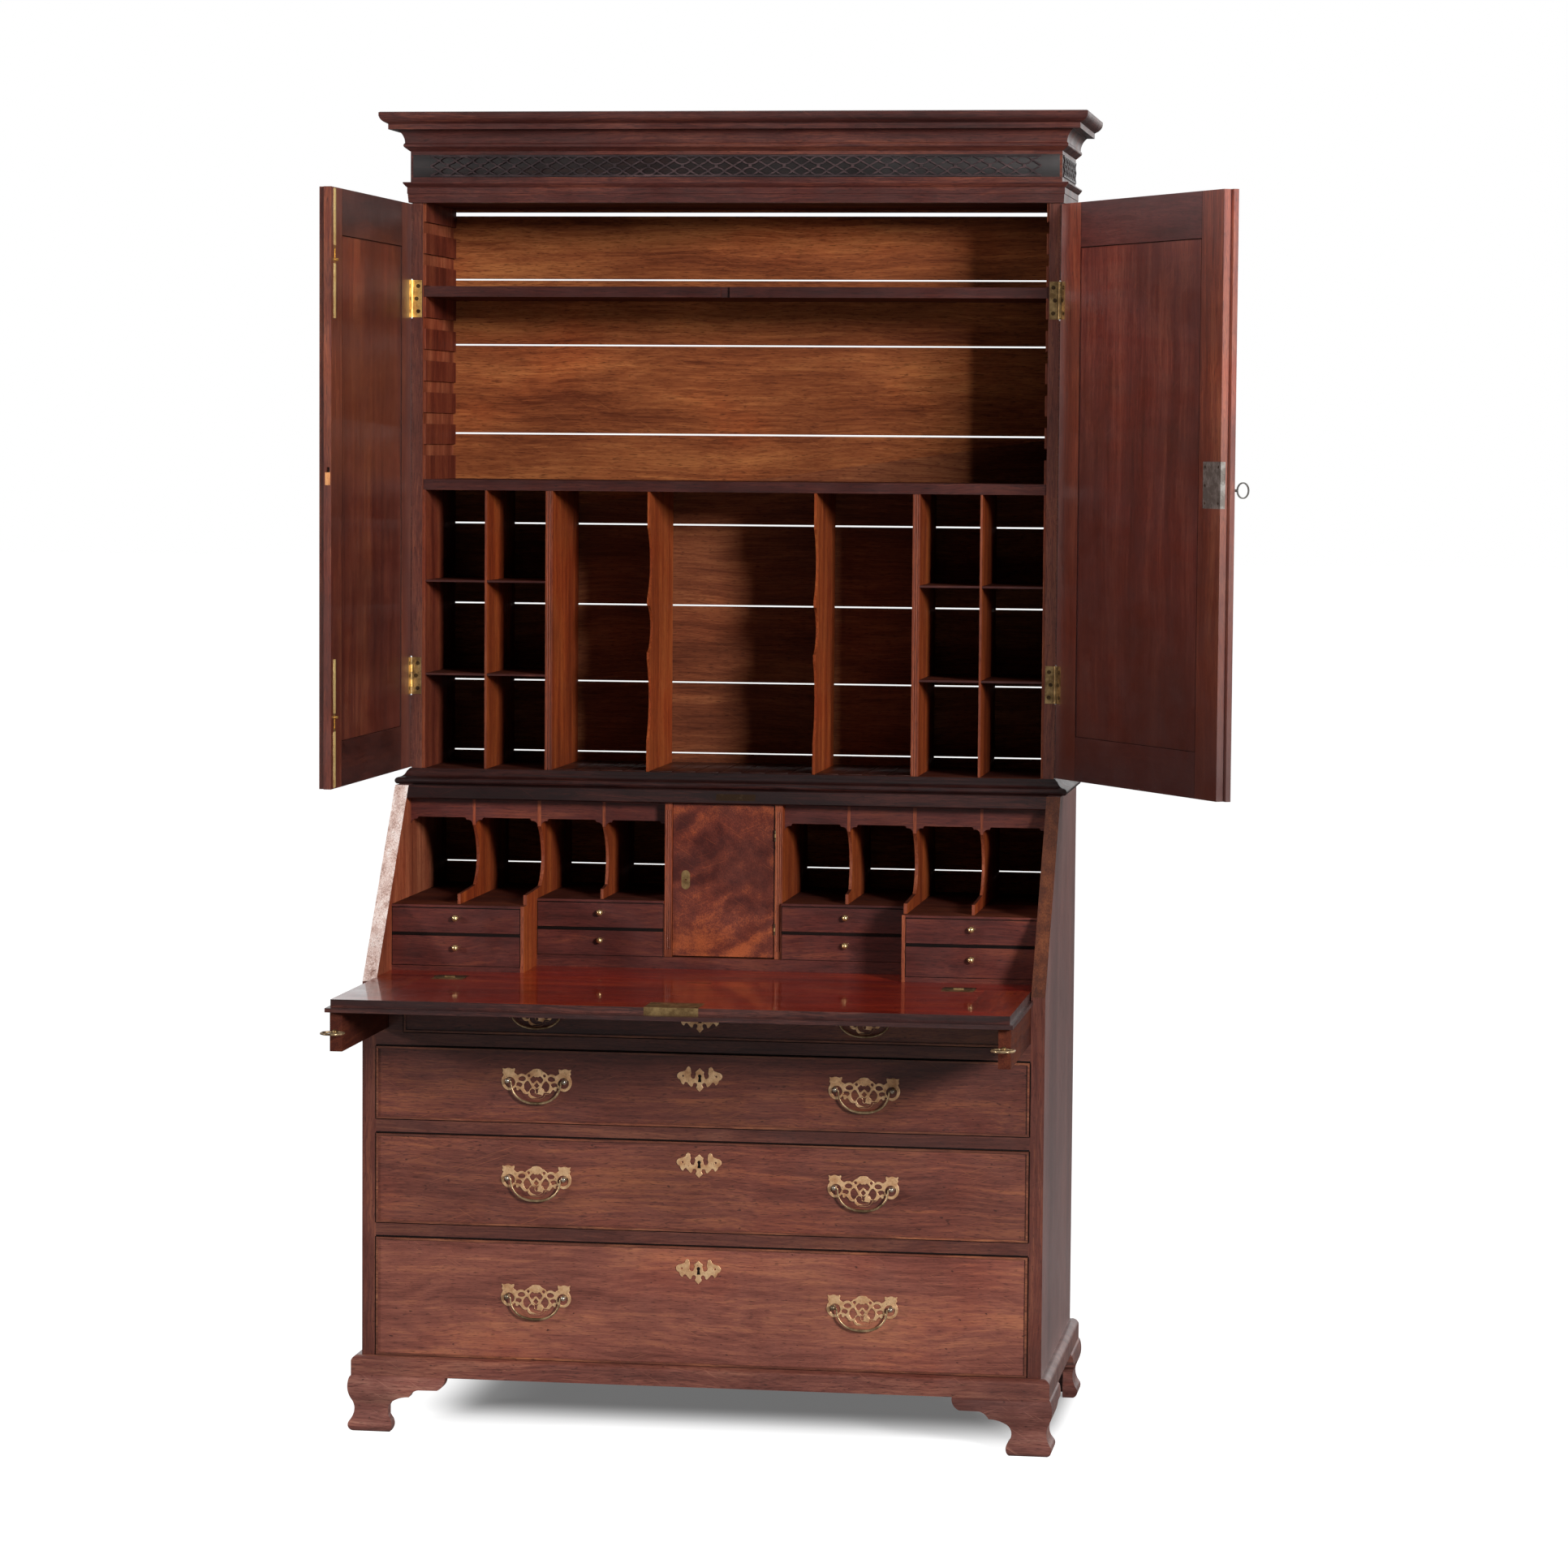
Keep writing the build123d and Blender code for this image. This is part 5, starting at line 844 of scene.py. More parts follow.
@dataclass
class DrawerBrass(Assembly):
    """The pierced brasses of the long drawers, and their swinging bails.

    Attributes:
        drawers: Each drawer's name, its front's foot, how far its handles and its keyhole lie above
            that, how far its plates are lifted, and its bails' share of the full drop.
        handle_x: Distance of a handle from the middle line.
        post_half: Half the distance between a handle's posts.
        stand_off: Distance of a bail from the drawer's face.
        wire_radius: Radius of a bail's wire.
        keyhole: Half width, depth below and height above the middle of the near-black board that
            paints the keyhole's shade.
        post_profile: Radius and height of the points that a post is turned from.
        bail_half_mm: Right half of a bail's wire as (x, z, share of the radius).
    """

    drawers: tuple[tuple[str, float, float, float, float, float], ...] = (
        ("bottom_drawer", 0.1318, 0.109, 0.161, 0.0, 0.93),
        ("third_drawer", 0.3609, 0.084, 0.114, 0.0, 0.93),
        ("second_drawer", 0.5400, 0.072, 0.082, 0.0, 0.93),
        ("top_drawer", 0.6901, 0.0435, 0.0325, 0.0034, 0.76),
    )
    handle_x: float = 0.281
    post_half: float = 0.049
    stand_off: float = 0.009
    wire_radius: float = 0.00175
    keyhole: Triple = (0.0048, 0.0065, 0.0095)
    post_profile: tuple[Pair, ...] = (
        (0.0, 0.0146), (0.0028, 0.0138), (0.0047, 0.0110), (0.0047, 0.0084), (0.0030, 0.0062),
        (0.0026, 0.0042), (0.0040, 0.0028), (0.0046, 0.0014), (0.0046, 0.0),
    )
    bail_half_mm: tuple[Triple, ...] = (
        (48.5, 0.0, 0.8), (45.5, 0.0, 0.8), (42.9, -1.5, 0.85), (42.8, -9.5, 0.95),
        (38.6, -23.0, 1.05), (27.5, -34.5, 1.15), (13.0, -40.2, 1.3), (0.0, -40.8, 1.4),
    )

    def willow_plate(self) -> FlatPlate:
        """Give the shape of a handle's back plate."""
        edge = [
            (0, 21), (6.5, 20.3), (10, 16.5), (14.5, 14.6), (18.3, 11), (20.5, 9.3), (23.5, 11.8),
            (29.5, 11.6), (33.5, 8.8), (36.5, 10.5), (41, 13.5), (39, 17), (39.3, 21.5), (44, 19.2),
            (50.5, 22), (57, 19.2), (62, 21.2), (59.5, 16), (61.5, 12.5), (58.5, 9.5), (62.3, 3),
            (63, -4), (60, -12), (53.5, -17.3), (47, -18), (41.5, -15.5), (38, -11.5), (36, -13),
            (36.2, -17), (32.5, -17.8), (30.5, -14), (27, -17.5), (23.5, -22.3), (18.8, -24),
            (15.2, -22.8), (14.8, -27), (9.5, -31.2), (4, -32), (0, -32),
        ]
        sawn = [
            [(19.8, 2.6), (21.5, 5.9), (26, 7.2), (30.5, 5.4), (32.6, 1.6), (29.8, -0.2),
             (25.4, -0.9), (21.4, 0.2)],
            [(25.8, -6.5), (28.6, -4.1), (33.5, -3.6), (36.6, -6.2), (35.4, -7.6), (36.8, -9.4),
             (33, -9.2), (29.6, -11.4), (27.2, -9.6)],
            [(16, -0.4), (21.4, -5.6), (22.4, -10.7), (20.6, -15.8), (17.3, -19.4),
             (12.4, -16.4), (9, -12.2), (11.5, -7)],
            [(0, 6.4), (2.4, 5.4), (5.4, 8), (8.6, 4.8), (11, 2.2), (6.7, -5.1), (0, 1.4)],
            [(0, -23.4), (2.9, -20.6), (2.2, -16.5), (5.5, -13.4), (9.5, -14.2), (11.9, -18.5),
             (9, -25.4), (0, -28.2)],
        ]
        openings = [rounded(opening, opening[0][0] > 0) for opening in sawn]
        return FlatPlate(
            "willow_plate", rounded(edge, False),
            openings_mm=[*openings, [(0, -3.6), (4.3, -8.4), (0, -13.1)]],
            discs_mm=[(13.8, 8.7, 2.7), (47.9, -3.6, 9.5)], growth=1.13,
        )

    def shield_plate(self) -> FlatPlate:
        """Give the shape of a keyhole plate."""
        edge = [
            (0, 19.5), (4, 15.5), (8.2, 12.4), (6.6, 9.2), (8, 5), (9, 1.4), (12.5, 0.6), (16, 3),
            (16.8, 7), (15.2, 10), (16, 15), (16.8, 20), (20.3, 22.4), (23.2, 20), (25, 15), (31, 13),
            (37.5, 11.5), (41.5, 6), (39, 0.5), (34.5, -1.5), (33.5, -6), (29, -10.5), (27, -6),
            (23.5, -4.5), (20, -8.5), (15, -13.6), (12.4, -11.4), (12, -8), (9, -5.7), (5, -7),
            (4.3, -10.8), (6.6, -14.4), (4, -17.5), (0, -21.5),
        ]
        return FlatPlate(
            "shield_plate", rounded(edge, False),
            openings_mm=[[(0, 8.6), (2.4, 7.8), (3.4, 5.4), (2.2, 2.6), (3.2, -4.8), (0, -4.8)]],
            discs_mm=[(30, 5.4, 1.8)], width_share=0.95,
        )

    def post(self, place: Vector) -> Piece:
        """Turn a post with a domed collar and a ball for the bail.

        Args:
            place: Where the post leaves the plate.

        Returns:
            The post.
        """
        deselect_all()
        bpy.ops.mesh.primitive_circle_add(vertices=3, radius=MM, location=(0, 0, 0))
        turned = bpy.context.active_object
        turned.name = "post"
        mesh = bmesh.new()
        points = [mesh.verts.new((radius, 0.0, height)) for radius, height in self.post_profile]
        for pair in zip(points, points[1:]):
            mesh.edges.new(pair)
        mesh.to_mesh(turned.data)
        mesh.free()
        pick(turned)
        bpy.ops.object.mode_set(mode="EDIT")
        bpy.ops.mesh.select_all(action="SELECT")
        bpy.ops.mesh.spin(
            steps=18, angle=2 * math.pi, center=(0, 0, 0), axis=(0, 0, 1), dupli=False
        )
        bpy.ops.mesh.select_all(action="SELECT")
        bpy.ops.mesh.remove_doubles(threshold=0.00002)
        bpy.ops.mesh.normals_make_consistent(inside=False)
        bpy.ops.object.mode_set(mode="OBJECT")
        turned.rotation_euler = (math.pi / 2, 0.0, 0.0)
        turned.location = place
        settle(turned)
        smooth(turned, 50.0)
        return turned

    def bail(self, name: str, middle: Vector, drop: float) -> Piece:
        """Make a bail whose wire swells towards the middle of its fall.

        Args:
            name: The piece's name.
            middle: Point midway between its two ends.
            drop: Share of the full drop that it has.

        Returns:
            The bail.
        """
        half = self.bail_half_mm
        route = [*half, *((-x, z, swell) for x, z, swell in reversed(half[:-1]))]
        curve = bpy.data.curves.new(name, "CURVE")
        curve.dimensions = "3D"
        curve.bevel_depth = self.wire_radius
        curve.bevel_resolution = 3
        curve.use_fill_caps = True
        spline = add_loop(curve, "NURBS", [(x * MM, 0.0, z * drop * MM) for x, z, _ in route])
        for point, (_, _, swell) in zip(spline.points, route):
            point.radius = swell
        spline.order_u = 3
        spline.use_endpoint_u = True
        spline.resolution_u = 5
        return curved(curve, middle, 0.0, 50.0)

    def build(self) -> None:
        """Build every drawer's brasses and hang them on their drawers."""
        willow, shield = self.willow_plate(), self.shield_plate()
        half, below, above = self.keyhole
        for drawer, low, handle_rise, keyhole_rise, lift, drop in self.drawers:
            keyhole = low + keyhole_rise
            plates, posts = [shield.build(Vector((0.0, 0.0, keyhole)))], []
            # A near-black board paints the shade inside the keyhole.
            hollow = board(
                "keyhole", (-half, -0.0004, keyhole - below), (half, 0.0001, keyhole + above)
            )
            for side, sign in SIGNS.items():
                middle = Vector((sign * self.handle_x, 0.0, low + handle_rise))
                plates.append(willow.build(middle + Vector((0.0, 0.0, lift))))
                for end in (-self.post_half, self.post_half):
                    posts.append(self.post(middle + Vector((end, 0.0, 0.0))))
                node = f"{drawer}_{side}_bail"
                name = f"{node}_wire"
                bail = self.bail(name, middle + self.stand_off * FRONTWARDS, drop)
                self.hang([bail], name, "handled_brass", node, "brass", node)
            for pieces, finish in (
                (plates, "antique_brass"), ([hollow], "dirt_dark_joint"), (posts, "worn_post_metal")
            ):
                for piece in pieces:
                    piece.data.materials.append(self.finishes[finish])
            self.hang([*plates, hollow, *posts], f"{drawer}_pierced_brasses", "", drawer, "brass",
                      f"{drawer}_brass")


@dataclass
class Dressing(Assembly):
    """Puts the finishes on the CAD nodes that are kept.

    Attributes:
        plain: Nodes with one finish.
        banded: Nodes whose finishes change along an axis: the finishes from low to high, the axis
            and the limits between them.
        fronts: Finish of each long drawer's front.
        bead_y: Back of a long drawer's cock bead.
        lining_y: Front of its lining.
        small_faces: Level y of the small drawers' faces in each column.
        slope_foot: Level above which the desk's front edges slope.
        outer_x: Outer face of the bookcase's sides.
        side_x: Inner face of those sides.
        ladder_x: Inner face of the ladders' blocks.
        partition_x: Distance of the scalloped partitions from the middle line.
        partition_half: Half their width, with some room.
        reeds: Distance and half width of the reeded uprights.
        shade_line_levels: Levels of the near-black lines painted on the gallery's front between the
            small drawers' rows, as painted shade of the gaps there.
        shade_line_half: Half their width.
        upright_x: Distances of the gallery's uprights from the middle line.
        upright_half: Half their thickness, with some room.
        gallery_foot: Level above which they stand free.
        clamp_x: Where the fall's clamps start.
        clamp_width: Their width.
        fall_front: The fall's front edge.
        fall_ends: Distance of its ends, and of their rounded lips, from the middle line.
        brass_levels: Level between the strike plate and the hinges, and between the hinges.
        stile_reaches: Inner edges of a door's stiles, measured from its hinge.
    """

    plain: dict[str, str] = field(default_factory=lambda: {
        "desk_top_board": "waist_mahogany", "desk_back_boards": "back_board_oak",
        "writing_bed": "fall_mahogany", "bracket_feet": "foot_mahogany",
        "cornice": "cornice_mahogany", "frieze_fret": "fret_mahogany",
        "gallery_valances": "gallery_mahogany", "prospect_door": "prospect_crotch_mahogany",
        "prospect_brass": "dull_brass", "fall_brass": "dull_brass",
        "left_door_panel": "left_door_panel_mahogany",
        "right_door_panel": "right_door_panel_mahogany", "left_door_brass": "gilded_brass",
        "right_door_brass": "dull_brass", "right_door_lock": "old_steel",
        "door_key": "rubbed_steel", "lock_bolt": "old_steel", "left_top_bolt": "gilded_brass",
        "left_bottom_bolt": "gilded_brass", "left_loper_ring": "handled_brass",
        "right_loper_ring": "handled_brass",
    })
    banded: dict[str, tuple[tuple[str, ...], int, float]] = field(default_factory=lambda: {
        "drawer_dividers": (("rail_mahogany", "inner_mahogany"), 1, 0.02),
        "case_mouldings": (("moulding_mahogany", "waist_mahogany"), 2, 1.0),
        "left_loper": (("dull_brass", "inner_mahogany_deep"), 1, -0.3302),
        "right_loper": (("dull_brass", "inner_mahogany_deep"), 1, -0.3302),
        "bookcase_back_boards": (("lower_back_board_oak", "back_board_oak"), 2, 1.62),
    })
    fronts: dict[str, str] = field(default_factory=lambda: {
        "bottom_drawer": "bottom_drawer_mahogany", "third_drawer": "third_drawer_mahogany",
        "second_drawer": "second_drawer_mahogany", "top_drawer": "second_drawer_mahogany",
    })
    bead_y: float = -0.0002
    lining_y: float = 0.019
    small_faces: tuple[tuple[str, float], ...] = (("outer", 0.115), ("inner", 0.230))
    slope_foot: float = 0.77
    outer_x: float = 0.5675
    side_x: float = 0.5496
    ladder_x: float = 0.5452
    partition_x: float = 0.147
    partition_half: float = 0.02
    reeds: tuple[Pair, ...] = ((0.437, 0.004), (0.324, 0.008))
    shade_line_levels: Pair = (0.8470, 0.8505)
    shade_line_half: float = 0.0012
    upright_x: tuple[float, ...] = (0.4475, 0.216, 0.331, 0.097)
    upright_half: float = 0.008
    gallery_foot: float = 0.8
    clamp_x: float = 0.481
    clamp_width: float = 0.078
    fall_front: float = -0.333
    fall_ends: Pair = (0.559, 0.5585)
    brass_levels: Pair = (1.2, 1.7)
    stile_reaches: Pair = (0.0735, 0.4965)

    def desk_side(self, centre: Vector, normal: Vector) -> int:
        """Tell the outer face, the inner face, the sloping edges and the front edge apart."""
        # The left sloping edge gets its near-white painted highlight here.
        if centre.z > self.slope_foot and normal.y < -STEEP and normal.z > 0.2:
            return 2 if centre.x < 0 else 3
        if normal.y < -STEEP:
            return 4
        return 1 if normal.x * centre.x < -0.01 else 0

    def bookcase_side(self, centre: Vector, normal: Vector) -> int:
        """Tell the outer face, the front edge, the ladder's blocks and the grooves apart."""
        across, ahead = abs(centre.x), normal.y < -STEEP
        if across > self.side_x:
            if ahead:
                return 2
            return 0 if across > self.outer_x else 1
        # Faces that look up or down between the ladder's blocks get near-black painted shade.
        if abs(normal.z) > STEEP:
            return 4
        if ahead:
            return 5
        return 3 if across < self.ladder_x else 1

    def rack(self, centre: Vector, normal: Vector) -> int:
        """Tell shelves, dividers, reeded uprights and scalloped partitions apart."""
        across = abs(centre.x)
        if abs(across - self.partition_x) < self.partition_half:
            return 2
        if abs(normal.z) > 0.9:
            return 0
        if normal.y < -STEEP:
            return 4 if any(abs(across - place) < half for place, half in self.reeds) else 1
        return 3

    def gallery(self, centre: Vector, normal: Vector) -> int:
        """Tell shelves, uprights, their front edges, the plain front faces and the painted shade
        lines between the drawer rows apart.
        """
        # Front faces at the gaps between the small drawers' rows get near-black painted shade.
        shade_gap = min(abs(centre.z - level) for level in self.shade_line_levels)
        if normal.y < -STEEP and shade_gap < self.shade_line_half:
            return 4
        if normal.y < -0.3:
            upright = min(abs(abs(centre.x) - place) for place in self.upright_x)
            return 3 if upright < self.upright_half and centre.z > self.gallery_foot else 2
        return 1 if abs(normal.x) > STEEP else 0

    def fall(self, centre: Vector, normal: Vector) -> int:
        """Tell the edge, the outer face, the clamps and the middle board apart."""
        across = abs(centre.x)
        end, lip = self.fall_ends
        if normal.z < STEEP and (centre.y < self.fall_front + 0.003 or across > lip):
            return 2
        if centre.y < self.fall_front or across > end:
            return 2
        if normal.z < -STEEP:
            return 3
        mitre = self.fall_front + self.clamp_width - max(0.0, across - self.clamp_x)
        return 1 if across > self.clamp_x and centre.y > mitre else 0

    def case_brass(self, centre: Vector, normal: Vector) -> int:
        """Tell the strike plate, the left door's upper plates and the rest apart."""
        strike, upper = self.brass_levels
        if centre.z < strike:
            return 0
        return 1 if centre.x < 0 and centre.z > upper else 2

    def door(self, side: str) -> Chooser:
        """Give what tells a door's stiles from its rails, in the shut door's frame."""
        hinge, back = hinge_of(side), Matrix.Rotation(-DOOR_TURNS[side], 3, "Z")
        inner, outer = self.stile_reaches
        return lambda centre, normal: int(inner <= abs((back @ (centre - hinge)).x) <= outer)

    def build(self) -> None:
        """Dress everything."""
        edge = "shelf_mahogany"
        for node, finish in self.plain.items():
            self.dress(node, [finish])
        for node, (names, axis, limit) in self.banded.items():
            self.dress(node, names, bands(axis, limit))
        for node, front in self.fronts.items():
            self.dress(node, ["cock_bead_mahogany", front, "drawer_lining_oak"],
                       bands(1, self.bead_y, self.lining_y))
        for side in SIGNS:
            for column, face in self.small_faces:
                for row in ("lower", "upper"):
                    self.dress(f"{side}_{column}_{row}_drawer",
                               ["turned_brass", "gallery_mahogany", "drawer_lining_oak"],
                               bands(1, face - 0.0003, face + 0.01))
            self.dress(f"{side}_door_frame",
                       [f"{side}_door_stile_mahogany", f"{side}_door_rail_mahogany"],
                       self.door(side))
        for node in ("bookcase_boards", "adjustable_shelf"):
            self.dress(node, ["inner_mahogany", edge], lambda centre, normal: int(normal.y < -STEEP))
        for node, names, choose in (
            ("desk_sides", ["side_mahogany", "inner_side_mahogany", "worn_edge_mahogany",
                            "orange_edge_oak", "front_edge_mahogany"], self.desk_side),
            ("bookcase_sides", ["side_mahogany", "inner_side_mahogany", "front_edge_mahogany",
                                "ladder_block_mahogany", "dirt_dark_joint", "rack_edge_mahogany"],
             self.bookcase_side),
            ("letter_racks", ["inner_mahogany", edge, "orange_partition",
                              "inner_mahogany_upright", "rack_edge_mahogany"], self.rack),
            ("gallery_carcass", ["inner_mahogany", "inner_mahogany_upright", "gallery_mahogany",
                                 "gallery_edge_mahogany", "dirt_dark_joint"], self.gallery),
            ("fall_board", ["fall_mahogany", "fall_clamp_mahogany", "fall_edge_mahogany",
                            "third_drawer_mahogany"], self.fall),
            ("case_brass", ["brown_brass", "gilded_brass", "dull_brass"], self.case_brass),
        ):
            self.dress(node, names, choose)


@dataclass
class CaseTrim(Assembly):
    """Thin wooden trim of the upper case: hinge beads, the rack floor's slats and near-black panels
    behind the fret that paint the shade of its recess.

    Attributes:
        bead_x: Inner and outer face of the beads that close the joints behind the doors' hinges.
        bead_y: Their front and back.
        bead_lengths: Their lower and upper ends, between the hinges.
        slat_pitch: Wished distance between the racks' floor slats.
        slat_gap: Width of the slot between two of them.
        slat_y: Their front and back ends.
        slat_z: Their underside and top.
        bays: Ends of the three open bays that they fill.
        ground_z: Foot and head of the near-black panels behind the fret, painted shade of its recess.
        ground_x: Half length of its front panel, and distance of its end panels.
        ground_y: Its front panel's place, and the back of its end panels.
        skin: Half its thickness.
    """

    bead_x: Pair = (0.5678, 0.5702)
    bead_y: Pair = (0.2981, 0.3071)
    bead_lengths: tuple[Pair, ...] = ((1.1225, 1.2495), (1.3185, 1.9105), (1.9795, 2.1105))
    slat_pitch: float = 0.0395
    slat_gap: float = 0.0022
    slat_y: Pair = (0.3075, 0.5460)
    slat_z: Pair = (1.1208, 1.1224)
    bays: tuple[Pair, ...] = ((-0.3165, -0.1500), (-0.1440, 0.1440), (0.1500, 0.3165))
    ground_z: Pair = (2.1560, 2.1950)
    ground_x: Pair = (0.5665, 0.5710)
    ground_y: Pair = (0.2950, 0.5560)
    skin: float = 0.0003

    def build(self) -> None:
        """Build the trim."""
        for side, sign in SIGNS.items():
            start, end = sorted(sign * x for x in self.bead_x)
            front, back = self.bead_y
            beads = [
                board("bead", (start, front, low), (end, back, high), 0.0004)
                for low, high in self.bead_lengths
            ]
            self.hang(beads, f"{side}_hinge_bead", "rail_mahogany", "carcass")
        slats = []
        for low, high in self.bays:
            count = round((high - low) / self.slat_pitch)
            pitch = (high - low) / count
            for start in (low + index * pitch for index in range(count)):
                slats.append(board(
                    "slat", (start + self.slat_gap / 2, self.slat_y[0], self.slat_z[0]),
                    (start + pitch - self.slat_gap / 2, self.slat_y[1], self.slat_z[1]), 0.0005,
                ))
        self.hang(slats, "rack_floor_slats", "slat_mahogany", "carcass")
        (low, high), (half, end), (front, back) = self.ground_z, self.ground_x, self.ground_y
        panels = [board("ground", (-half, front - self.skin, low), (half, front + self.skin, high))]
        for place in (-end, end):
            panels.append(board("ground", (place - self.skin, front + 0.005, low),
                                (place + self.skin, back, high)))
        self.hang(panels, "fret_ground_panels", "fret_ground_mahogany", "carcass")


@dataclass
class GapShadeLines(Assembly):
    """Near-black lines along the gaps round the drawers: painted shadow of those gaps.

    Attributes:
        lines_y: Front and back of a line, from the face that it lies on.
        long_openings: Half width, foot and head of each long drawer's opening, and whether it has a
            line below and above.
        head_width: Width of the line above.
        foot_width: Width of the line below.
        end_width: Width of the lines at its ends.
        columns: Name, inner end, outer end and face of each column of small fronts, and the foot
            and head of its two rows.
        small_widths: Width of a small front's lines at its head, foot and ends.
    """

    lines_y: Pair = (-0.0002, 0.0003)
    long_openings: tuple[tuple[float, float, float, bool, bool], ...] = (
        (0.561, 0.1310, 0.3361, False, True), (0.561, 0.3601, 0.5152, True, True),
        (0.561, 0.5392, 0.6653, True, True), (0.513, 0.6893, 0.7627, True, False),
    )
    head_width: float = 0.0024
    foot_width: float = 0.001
    end_width: float = 0.0013
    columns: tuple[tuple[str, float, float, float, Pair, Pair], ...] = (
        ("outer", 0.3344, 0.5606, 0.115, (0.7919, 0.8451), (0.8489, 0.8929)),
        ("inner", 0.1039, 0.3276, 0.230, (0.8034, 0.8486), (0.8524, 0.8966)),
    )
    small_widths: Triple = (0.0014, 0.0007, 0.0009)

    def strips(self, face: float, spans: Sequence[tuple[float, float, float, float]]) -> list[Piece]:
        """Make lines on a face.

        Args:
            face: The face's y.
            spans: The low x, low z, high x and high z of each line.

        Returns:
            The lines.
        """
        front, back = (face + depth for depth in self.lines_y)
        return [board("line", (x0, front, z0), (x1, back, z1)) for x0, z0, x1, z1 in spans]

    def build(self) -> None:
        """Build every line."""
        spans = []
        for half, low, high, below, above in self.long_openings:
            if above:
                spans.append((-half, high, half, high + self.head_width))
            if below:
                spans.append((-half, low - self.foot_width, half, low))
            for start in (-half - self.end_width, half):
                spans.append((start, low, start + self.end_width, high))
        # These lines are painted shadow along the drawers' gaps, wider above each opening than below
        # it.
        dark = "dirt_dark_joint"
        self.hang(self.strips(0.0, spans), "drawer_opening_lines", dark, "carcass")
        head, foot, ends = self.small_widths
        for column, near, far, face, *rows in self.columns:
            for row, (low, high) in zip(("lower", "upper"), rows):
                for side, sign in SIGNS.items():
                    start, end = sorted((sign * near, sign * far))
                    node = f"{side}_{column}_{row}_drawer"
                    self.hang(self.strips(face, [
                        (start, high - head, end, high), (start, low, end, low + foot),
                        (start, low, start + ends, high), (end - ends, low, end, high),
                    ]), f"{node}_joint_lines", dark, node)


@dataclass
class DoorDetails(Assembly):
    """Dark lines on both doors: painted shadow round the panel and dark joints where the rails meet
    the stiles. Also the left door's bolt plates and bare patch.

    Attributes:
        opening_x: Inner edges of a shut door's stiles.
        opening_z: Inner edges of its rails.
        ends_z: Its foot and head.
        line: Width of the painted shadow lines round its panel.
        line_lift: How far they stand out.
        plate_x: Sides of the bolts' face plates.
        plate_levels: Foot and head of each of them.
        plate_sunk: How deep they lie in the door's face.
        plate_proud: How far they stand out.
        patch: Low and high corner of the bare patch at the lock's mortise.
    """

    opening_x: Pair = (0.0734, 0.4946)
    opening_z: Pair = (1.1986, 2.0340)
    ends_z: Pair = (1.1226, 2.1100)
    line: float = 0.0009
    line_lift: float = 0.00012
    plate_x: Pair = (-0.0309, -0.0179)
    plate_levels: tuple[Pair, ...] = (
        (2.0155, 2.1080), (1.8965, 1.9855), (1.2470, 1.3360), (1.1245, 1.2170)
    )
    plate_sunk: float = 0.0002
    plate_proud: float = 0.0006
    patch: tuple[Triple, Triple] = ((-0.0006, 0.2870, 1.6230), (-0.0002, 0.2955, 1.6440))

    def shut_board(self, side: str, low: Triple, high: Triple, round_off: float) -> Piece:
        """Make a board in a shut door's frame and swing it with the door.

        Args:
            side: The door, left or right.
            low: Its lowest corner with the door shut.
            high: Its highest corner with the door shut.
            round_off: Width of the rounding.

        Returns:
            The board.
        """
        piece = board("door_detail", low, high, round_off)
        pick(piece)
        bpy.ops.transform.rotate(
            value=-DOOR_TURNS[side], orient_axis="Z", center_override=hinge_of(side)
        )
        settle(piece)
        return piece

    def build(self) -> None:
        """Build the details."""
        (inner, outer), (lower, upper), (foot, head) = self.opening_x, self.opening_z, self.ends_z
        thin, thick, lift = self.line * 0.4, self.line, self.line_lift
        # The first four lines are painted shadow round the panel, widest at its head; the thin ones
        # mark the joints where the rails meet the stiles.
        spans = [
            (inner, lower, inner + thick, upper), (outer - thick, lower, outer, upper),
            (inner, lower, outer, lower + thick), (inner, upper - thick * 1.8, outer, upper),
            (inner, foot, inner + thin, lower), (outer - thin, foot, outer, lower),
            (inner, upper, inner + thin, head), (outer - thin, upper, outer, head),
        ]
        for side, sign in SIGNS.items():
            lines = []
            for x0, z0, x1, z1 in spans:
                start, end = sorted((sign * x0, sign * x1))
                lines.append(self.shut_board(
                    side, (start, DOOR_FACE_Y - lift, z0), (end, DOOR_FACE_Y + lift, z1), lift * 0.3
                ))
            self.hang(lines, f"{side}_door_joint_lines", "dirt_dark_joint", f"{side}_door")
        low, high = self.plate_x
        plates = [
            self.shut_board("left", (low, DOOR_FACE_Y - self.plate_sunk, foot),
                            (high, DOOR_FACE_Y + self.plate_proud, head), 0.0003)
            for foot, head in self.plate_levels
        ]
        self.hang(plates, "bolt_face_plates", "bright_bolt_brass", "left_door", "brass")
        patch = self.shut_board("left", *self.patch, 0.0001)
        self.hang([patch], "lock_mortise_patch", "bare_mahogany", "left_door")


